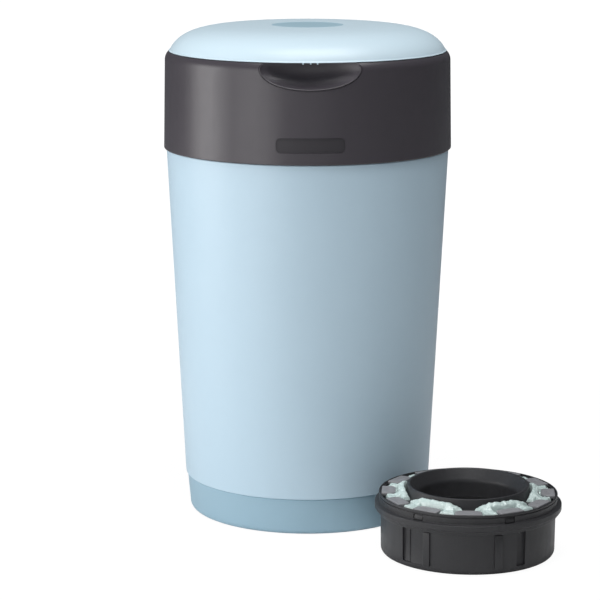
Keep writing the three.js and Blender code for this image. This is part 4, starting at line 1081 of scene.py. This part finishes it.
def makeFilmTree():
    tree = bpy.data.node_groups.new("gatheredFilm", "GeometryNodeTree")
    face = tree.interface
    kinds = {name: "Int" if name in ("around", "section", "pleats") else "Float" for name in filmForm}
    kinds["paint"] = "Material"
    for name, kind in kinds.items():
        face.new_socket(name, in_out="INPUT", socket_type="NodeSocket" + kind)
    face.new_socket("shape", in_out="OUTPUT", socket_type="NodeSocketGeometry")
    wire = Wire(tree)
    given = Sizes({name: wire.node("NodeGroupInput", output=name) for name in kinds})
    grid = {"Vertices X": given.around, "Vertices Y": given.section, "Size X": 1.0, "Size Y": 1.0}
    sheet = wire.node("GeometryNodeMeshGrid", grid)
    place = wire.node("GeometryNodeInputPosition")
    across, along = (wire.node("ShaderNodeSeparateXYZ", {0: place}, axis) for axis in (0, 1))
    angle, along = (across + 0.5) * (2 * math.pi), 0.5 - along
    degrees = angle * (180 / math.pi)
    cosine, sine = (wire.math(kind, angle) for kind in ("COSINE", "SINE"))

    def ramp(value, low, high, kind="SMOOTHSTEP"):
        values = {"Value": value, "From Min": float(low), "From Max": float(high)}
        return wire.node("ShaderNodeMapRange", values, interpolation_type=kind)

    # Distance from the nearest of the lines that stand every so many degrees
    def beside(first, step, radius):
        near = wire.math("MODULO", degrees + (step * 1.5 - first), float(step)) - step / 2
        return wire.math("ABSOLUTE", wire.math("SINE", near * (math.pi / 180)) * radius)

    # Round the section: over the top from the outer side, down, back along the bottom and up
    over, down, back = 0.62, 0.71, 0.91
    inward = ramp(along, 0, over, "LINEAR") - ramp(along, down, back, "LINEAR")
    fall = ramp(along, over, down, "LINEAR") - ramp(along, back, 1, "LINEAR")
    offset = 1 - inward * 2
    edge = wire.math("ABSOLUTE", offset)
    radius = offset * given.halfWidth + given.middle
    spun = wire.node("ShaderNodeCombineXYZ", {0: cosine * radius, 1: sine * radius, 2: fall * 40})
    fine = noiseOf(wire, spun, 0.3, 3.0, 0.55)
    slow = noiseOf(wire, spun, 0.11)
    crease = 1 - wire.math("ABSOLUTE", fine - 0.5) * 4
    pleat = wire.math("SINE", angle * given.pleats + slow * 9)
    folds = pleat * given.pleatDepth + (crease - 0.6) * given.crumple

    offTab = wire.math("MAXIMUM", beside(0, 30, radius) - given.tabHalf, given.tabStart - radius)
    offSpoke = beside(30, 60, radius) - given.spokeHalf
    clear = wire.math("MINIMUM", ramp(offTab, -0.6, 1.8), ramp(offSpoke, -0.4, 2))
    top = wire.math("LESS_THAN", along, over) * (1 - ramp(edge, 0.93, 1))
    rise = wire.math("MULTIPLY", 1 - ramp(radius, 57, 66.5), ramp(offSpoke, -2, 14)) * given.rise
    swell = rise + given.swell
    lift = clear * ramp(radius, 53.6, 56.2) * swell * (slow * 0.3 + 0.85) + folds * (clear * 0.7 + 0.3)
    corner = ramp(edge, 0.8, 1) * (1 - fall) * given.corner
    height = given.high - fall * (given.high - given.low) - corner + top * lift
    radius = radius - offset * (crease * given.crumple * 0.2 - pleat * given.pleatDepth * 0.5 + 0.3)
    end = wire.node("ShaderNodeCombineXYZ", {0: cosine * radius * mm, 1: sine * radius * mm, 2: height * mm})
    shaped = wire.node("GeometryNodeSetPosition", {"Geometry": sheet, "Position": end})
    closed = wire.node("GeometryNodeMergeByDistance", {"Geometry": shaped, "Distance": 0.00001})
    real = wire.node("GeometryNodeRealizeInstances", {"Geometry": closed})
    smooth = wire.node("GeometryNodeSetShadeSmooth", {"Geometry": real})
    painted = wire.node("GeometryNodeSetMaterial", {"Geometry": smooth, "Material": given.paint})
    wire.finish("NodeGroupOutput", painted)
    return tree


def makeFilm():
    made = addObject("film", [], [])
    modifier = made.modifiers.new("gather", "NODES")
    modifier.node_group = makeFilmTree()
    setInputs(modifier, {**filmForm, "paint": mintFilm})
    settle(made)
    settleNormals(made)
    return made


# The cassette is made once, and its copies go in the carrier and beside the bin
cassettePieces = {
    "Tray": (makeTray(), cassetteDark, "cassette_black", "cassette_tray"),
    "Cover": (makeCover(), cassetteDark, "cassette_black", "cassette_cover"),
    "Tabs": (makeTabs(), None, "cassette_black", None),
    "Film": (makeFilm(), None, "film", "film_pack"),
}
cassettePlaces = (("fitted", "carrier", (0, 0, 355), 0), ("spare", "spare_cassette", (137.5, -157, 0), -4.5))
for piece, (template, paint, slot, node) in cassettePieces.items():
    for label, body, offset, turn in cassettePlaces:
        made = copyOf(template, label + piece)
        place(moved(made, offset, turn), paint, body, slot, *([f"{label}_{node}"] if node else []))
    bpy.data.objects.remove(template)
print("cassettes made")
# Chassis: a deck with a sleeve that the carrier turns in, stiffened by gussets under the deck
chassis = Sizes(
    deckTop=403, deckLow=400.4, deck=117, sleeve=89.6, sleeveOuter=92, floorTop=348.1, floorLow=345.5,
    mouth=65.6, screwCircle=112, hole=1.8, gussets=8, gussetOut=104, gussetLow=382, gussetHalf=0.9,
    pawlPivot=(110.53, -22.006), pinHole=2.1, screwLength=9,
)
headChassis = turned("headChassis", [
    (chassis.sleeve, chassis.deckTop, 1), (chassis.deck, chassis.deckTop, 0.5),
    (chassis.deck, chassis.deckLow, 0.5),
    (chassis.sleeveOuter, chassis.deckLow, 1.2), (chassis.sleeveOuter, chassis.floorLow, 2.2),
    (chassis.mouth, chassis.floorLow, 0.5), (chassis.mouth, chassis.floorTop, 0.5),
    (chassis.sleeve, chassis.floorTop, 1.2),
], 180, 9)
gusset = softened(raised("gusset", [
    (chassis.sleeveOuter - 0.8, chassis.deckLow + 0.8), (chassis.gussetOut, chassis.deckLow + 0.8),
    (chassis.gussetOut, chassis.deckLow - 2), (chassis.sleeveOuter + 1.5, chassis.gussetLow),
    (chassis.sleeveOuter - 0.8, chassis.gussetLow),
], -chassis.gussetHalf, chassis.gussetHalf, "Y"), 0.25, 2)
join(headChassis, spread(gusset, chassis.gussets, 0, 22.5))
through = (chassis.deckLow - 1, chassis.deckTop + 1)
cut(headChassis, spread(disc("hole", chassis.hole, *through), 4, chassis.screwCircle, 45))
cut(headChassis, moved(disc("pinHole", chassis.pinHole, *through, 32), (*chassis.pawlPivot, 0)))
placeTurned(headChassis, mechanismDark, "head", "charcoal", "head_chassis")
seat = chassis.deckLow
placeScrews("chassisScrews", "head", "chassis_screw", chassis.screwCircle, 45, seat, chassis.screwLength)

# Carrier: a cup with a ratchet round its flange
cup = Sizes(
    inner=85.4, outer=87.8, top=406.2, flangeLow=403.6, floorTop=354.7, floorLow=352.1, mouth=62, spigot=64.4,
    spigotLow=343.6, root=99, tip=101.6, teeth=24, lead=0.9, rib=1.1,
)
carrierCup = turned("carrierCup", [
    (cup.mouth, cup.floorTop, 0.8), (cup.inner, cup.floorTop, 1.6), (cup.inner, cup.top, 0.5),
    (cup.outer + 2, cup.top), (cup.outer + 2, cup.flangeLow, 0.8), (cup.outer, cup.flangeLow, 0.8),
    (cup.outer, cup.floorLow, 2), (cup.spigot, cup.floorLow, 0.8), (cup.spigot, cup.spigotLow, 0.6),
    (cup.mouth, cup.spigotLow, 0.6),
], 180, 9)
pitch = 360 / cup.teeth
ratchetLine = []
for k in range(cup.teeth):
    ratchetLine += [polar(cup.root, k * pitch), polar(cup.tip, k * pitch + cup.lead)]
ratchet = softened(raised("ratchet", ratchetLine, cup.flangeLow, cup.top), 0.25, 2, 20)
join(carrierCup, cut(ratchet, disc("bore", cup.outer + 0.6, cup.flangeLow - 1, cup.top + 1, 180)))
guide = block("guide", (cup.inner - cup.rib, cup.inner + 0.8), (-1, 1), (cup.floorTop - 0.5, cup.top - 8))
join(carrierCup, spread(softened(guide, 0.4, 2), 8, 0, 22.5))
placeTurned(carrierCup, mechanismDark, "carrier", "charcoal", "carrier_cup")

# Twist ring with four grips, each with ribs for the fingers
twist = Sizes(
    inner=85.4, outer=95.6, low=406.5, top=411.5, round=1.2, gripInner=87, gripOuter=94.4, gripHalf=11,
    gripEnd=8.8, gripTop=416.7, ribs=(-6.6, -3.3, 0, 3.3, 6.6), ribHalf=0.5, ribIn=0.5,
)
twistRing = turned("twistRing", [
    (twist.inner, twist.low, 0.3), (twist.outer, twist.low, 0.3), (twist.outer, twist.top, twist.round * 1.6),
    (twist.gripInner + 4.6, twist.top, 0.2), (twist.gripInner + 4.2, twist.top - 0.35, 0.1),
    (twist.gripInner + 3.2, twist.top - 0.35, 0.1), (twist.gripInner + 2.8, twist.top, 0.2),
    (twist.inner, twist.top, twist.round * 1.6),
], 180, 9)
grip = softened(raised("grip", [
    (twist.gripInner, -twist.gripHalf), (twist.gripOuter, -twist.gripEnd), (twist.gripOuter, twist.gripEnd),
    (twist.gripInner, twist.gripHalf),
], twist.top - 0.8, twist.gripTop), 0.9, 4, 40)
for y in twist.ribs:
    groove = block("groove", (twist.gripInner - 1, twist.gripInner + twist.ribIn),
                   (y - twist.ribHalf, y + twist.ribHalf), (twist.top + 1, twist.gripTop - 1.2))
    cut(grip, groove)
join(twistRing, spread(grip, 4, 0, 45))
placeTurned(twistRing, linerGrey, "carrier", "liner_grey", "twist_ring")

# Click pawl, whose nose lies in the ratchet, and the rivet that it swings on
pawl = Sizes(hub=4.2, low=403.3, high=406.1, bore=2.1, pin=1.8, headLow=406.4, headHigh=407.8, nose=99.6)
pivotX, pivotY = chassis.pawlPivot
clickPawl = raised("clickPawl", [
    (pawl.nose, -0.9), (pawl.nose + 3.9, 0.6), (pivotX + pawl.hub / 2, pivotY + pawl.hub / 2),
    (pivotX - pawl.hub / 2, pivotY - pawl.hub / 2), (pawl.nose + 1.95, -4.8),
], pawl.low, pawl.high)
join(clickPawl, moved(disc("hub", pawl.hub, pawl.low, pawl.high, 64), (pivotX, pivotY, 0)))
softened(clickPawl, 0.3, 3, 40)
cut(clickPawl, moved(disc("bore", pawl.bore, pawl.low - 1, pawl.high + 1, 40), (pivotX, pivotY, 0)))
place(smoothed(clickPawl), linerGrey, "pawl", "liner_grey", "click_pawl")
pawlPin = turned("pawlPin", [
    (0, chassis.deckLow), (pawl.pin, chassis.deckLow, 0.3), (pawl.pin, pawl.headLow),
    (pawl.hub, pawl.headLow, 0.2), (pawl.hub, pawl.headHigh, 1), (1.2, pawl.headHigh, 0.3),
    (0.8, pawl.headHigh - 0.5, 0.2), (0, pawl.headHigh - 0.5),
], 48, 40)
place(moved(smoothed(pawlPin), (pivotX, pivotY, 0)), steel, "head", "steel", "pawl_pin")

# Clamp ring with a pair of ears for each finger, the pins, and the four sprung fingers
clamp = Sizes(
    inner=68, outer=82, low=341.2, top=345.2, circle=72, pivotZ=335.2, earNear=17.6, earFar=20.6, ear=3.4,
    bore=1.8, pin=1.5, pinHalf=20.6, barrel=2.8, half=17, tipHalf=13, endHalf=8.7, bend=30.4, reach=38,
    thick=2, slope=25, rib=0.8, ribs=(-9, 0, 9), ribHalf=0.7, root=1.4,
)
clampRing = turned("clampRing", [
    (clamp.inner, clamp.low, 0.5), (clamp.outer, clamp.low, 0.5), (clamp.outer, clamp.top, 0.5),
    (clamp.inner, clamp.top, 0.5),
], 180, 9)


# A rod along Y at a finger's pivot
def pivotRod(name, radius, half, *edge):
    ends = [(0, -half), (radius, -half, *edge), (radius, half, *edge), (0, half)]
    return moved(turned(name, ends, 48, 40), (clamp.circle, 0, clamp.pivotZ), 90, "X")


earFoot = [polar(clamp.ear, 180 + 180 * k / 16) for k in range(17)]
earLine = [(clamp.circle + across, clamp.pivotZ + up) for across, up in earFoot]
earLine += [(clamp.circle + clamp.ear, clamp.low + 0.8), (clamp.circle - clamp.ear, clamp.low + 0.8)]
for near, far in ((clamp.earNear, clamp.earFar), (-clamp.earFar, -clamp.earNear)):
    ear = softened(raised("ear", earLine, near, far, "Y"), 0.3, 2, 50)
    join(clampRing, spread(ear, 4, 0, 45))
cut(clampRing, spread(pivotRod("bores", clamp.bore, 22), 4, 0, 45))
placeTurned(clampRing, mechanismDark, "head", "charcoal", "clamp_ring")
pins = smoothed(pivotRod("clampPins", clamp.pin, clamp.pinHalf, 0.4))
place(spread(pins, 4, 0, 45, steel), None, "head", "steel", *(f"clamp_pin_{i}" for i in range(1, 5)))


def makeFinger():
    plan = [
        (-clamp.root, -clamp.half), (-clamp.bend, -clamp.tipHalf, 6), (-clamp.reach, -clamp.endHalf, 3),
        (-clamp.reach, clamp.endHalf, 3), (-clamp.bend, clamp.tipHalf, 6), (-clamp.root, clamp.half),
    ]
    flap = raised("flap", rounded(plan, 8), -clamp.thick / 2, clamp.thick / 2)
    softened(flap, 0.5, 3, 40)
    for y in clamp.ribs:
        spans = (-clamp.bend + 2, -clamp.root), (y - clamp.ribHalf, y + clamp.ribHalf)
        rib = block("rib", *spans, (-clamp.thick / 2 - clamp.rib, 0))
        join(flap, softened(rib, 0.3, 2, 50))
    moved(flap, (clamp.circle, 0, clamp.pivotZ), -clamp.slope, "Y")
    join(flap, pivotRod("barrel", clamp.barrel, clamp.half, 0.4))
    return smoothed(cut(flap, pivotRod("bore", clamp.bore, clamp.half + 1)))


finger = makeFinger()
for k in range(4):
    made = moved(copyOf(finger, f"clampFinger{k + 1}"), (0, 0, 0), 45 + 90 * k)
    place(made, linerGrey, f"clamp_{k + 1}", "liner_grey", f"clamp_finger_{k + 1}")
bpy.data.objects.remove(finger)

# Film cutter: a housing with a channel, a slider and its blade
cutter = Sizes(
    half=32, front=-105, back=-85.5, sleeve=92.3, low=348.5, high=360.5, y=-98.5, channelHalf=3.2,
    channelEnd=29, channelLow=351.5, channelHigh=357.5, slitHalf=1.6, sliderStart=-28.4, sliderEnd=-14.4,
    neckEnd=-20.4, gripLow=343.3, gripTop=347.9, gripHalf=4, blade=0.3, rules=(352, 354.5, 357), ruleHalf=24,
)


def acrossChannel(half):
    return cutter.y - half, cutter.y + half


spans = (-cutter.half, cutter.half), (cutter.front, cutter.back), (cutter.low, cutter.high)
housing = block("cutterHousing", *spans)
cut(
    softened(housing, 1.2, 4),
    disc("sleeve", cutter.sleeve, cutter.low - 2, cutter.high + 2, 180),
    softened(block("channel", (-cutter.channelEnd, cutter.channelEnd), acrossChannel(cutter.channelHalf),
                   (cutter.channelLow, cutter.channelHigh)), 0.3, 2),
    block("slit", (-cutter.channelEnd, cutter.channelEnd), acrossChannel(cutter.slitHalf),
          (cutter.low - 1, cutter.channelLow + 1)),
)
for z in cutter.rules:
    spans = (-cutter.ruleHalf, cutter.ruleHalf), (cutter.front - 1, cutter.front + 0.5), (z - 0.4, z + 0.4)
    rule = block("rule", *spans)
    cut(housing, softened(rule, 0.2, 2))
place(smoothed(housing), mechanismDark, "head", "charcoal", "cutter_housing")

slider = softened(block("cutterSlider", (cutter.sliderStart, cutter.sliderEnd), acrossChannel(2.6),
                        (cutter.channelLow + 0.3, cutter.channelHigh - 0.6)), 0.4, 2)
thumb = softened(block("thumb", (cutter.sliderStart, cutter.sliderEnd), acrossChannel(cutter.gripHalf),
                       (cutter.gripLow, cutter.gripTop)), 0.9, 4)
for k in range(5):
    x = cutter.sliderStart + 2.6 + 2.2 * k
    heights = (cutter.gripLow - 1, cutter.gripLow + 0.5)
    cut(thumb, block("groove", (x - 0.4, x + 0.4), acrossChannel(2.6), heights))
heights = (cutter.gripTop - 0.8, cutter.channelLow + 0.8)
join(slider, block("neck", (cutter.sliderStart, cutter.neckEnd), acrossChannel(1), heights), thumb)
place(smoothed(slider), linerGrey, "cutter", "liner_grey", "cutter_slider")

edge = cutter.neckEnd + 0.3
blade = raised("cutterBlade", [
    (edge, cutter.gripTop + 0.3), (edge + 4.4, cutter.gripTop + 0.3),
    (edge + 2.2, cutter.channelLow), (edge, cutter.channelLow),
], -cutter.blade, cutter.blade, "Y")
place(smoothed(moved(softened(blade, 0.12, 2), (0, cutter.y, 0))), steel, "cutter", "steel", "cutter_blade")
print("mechanism made")
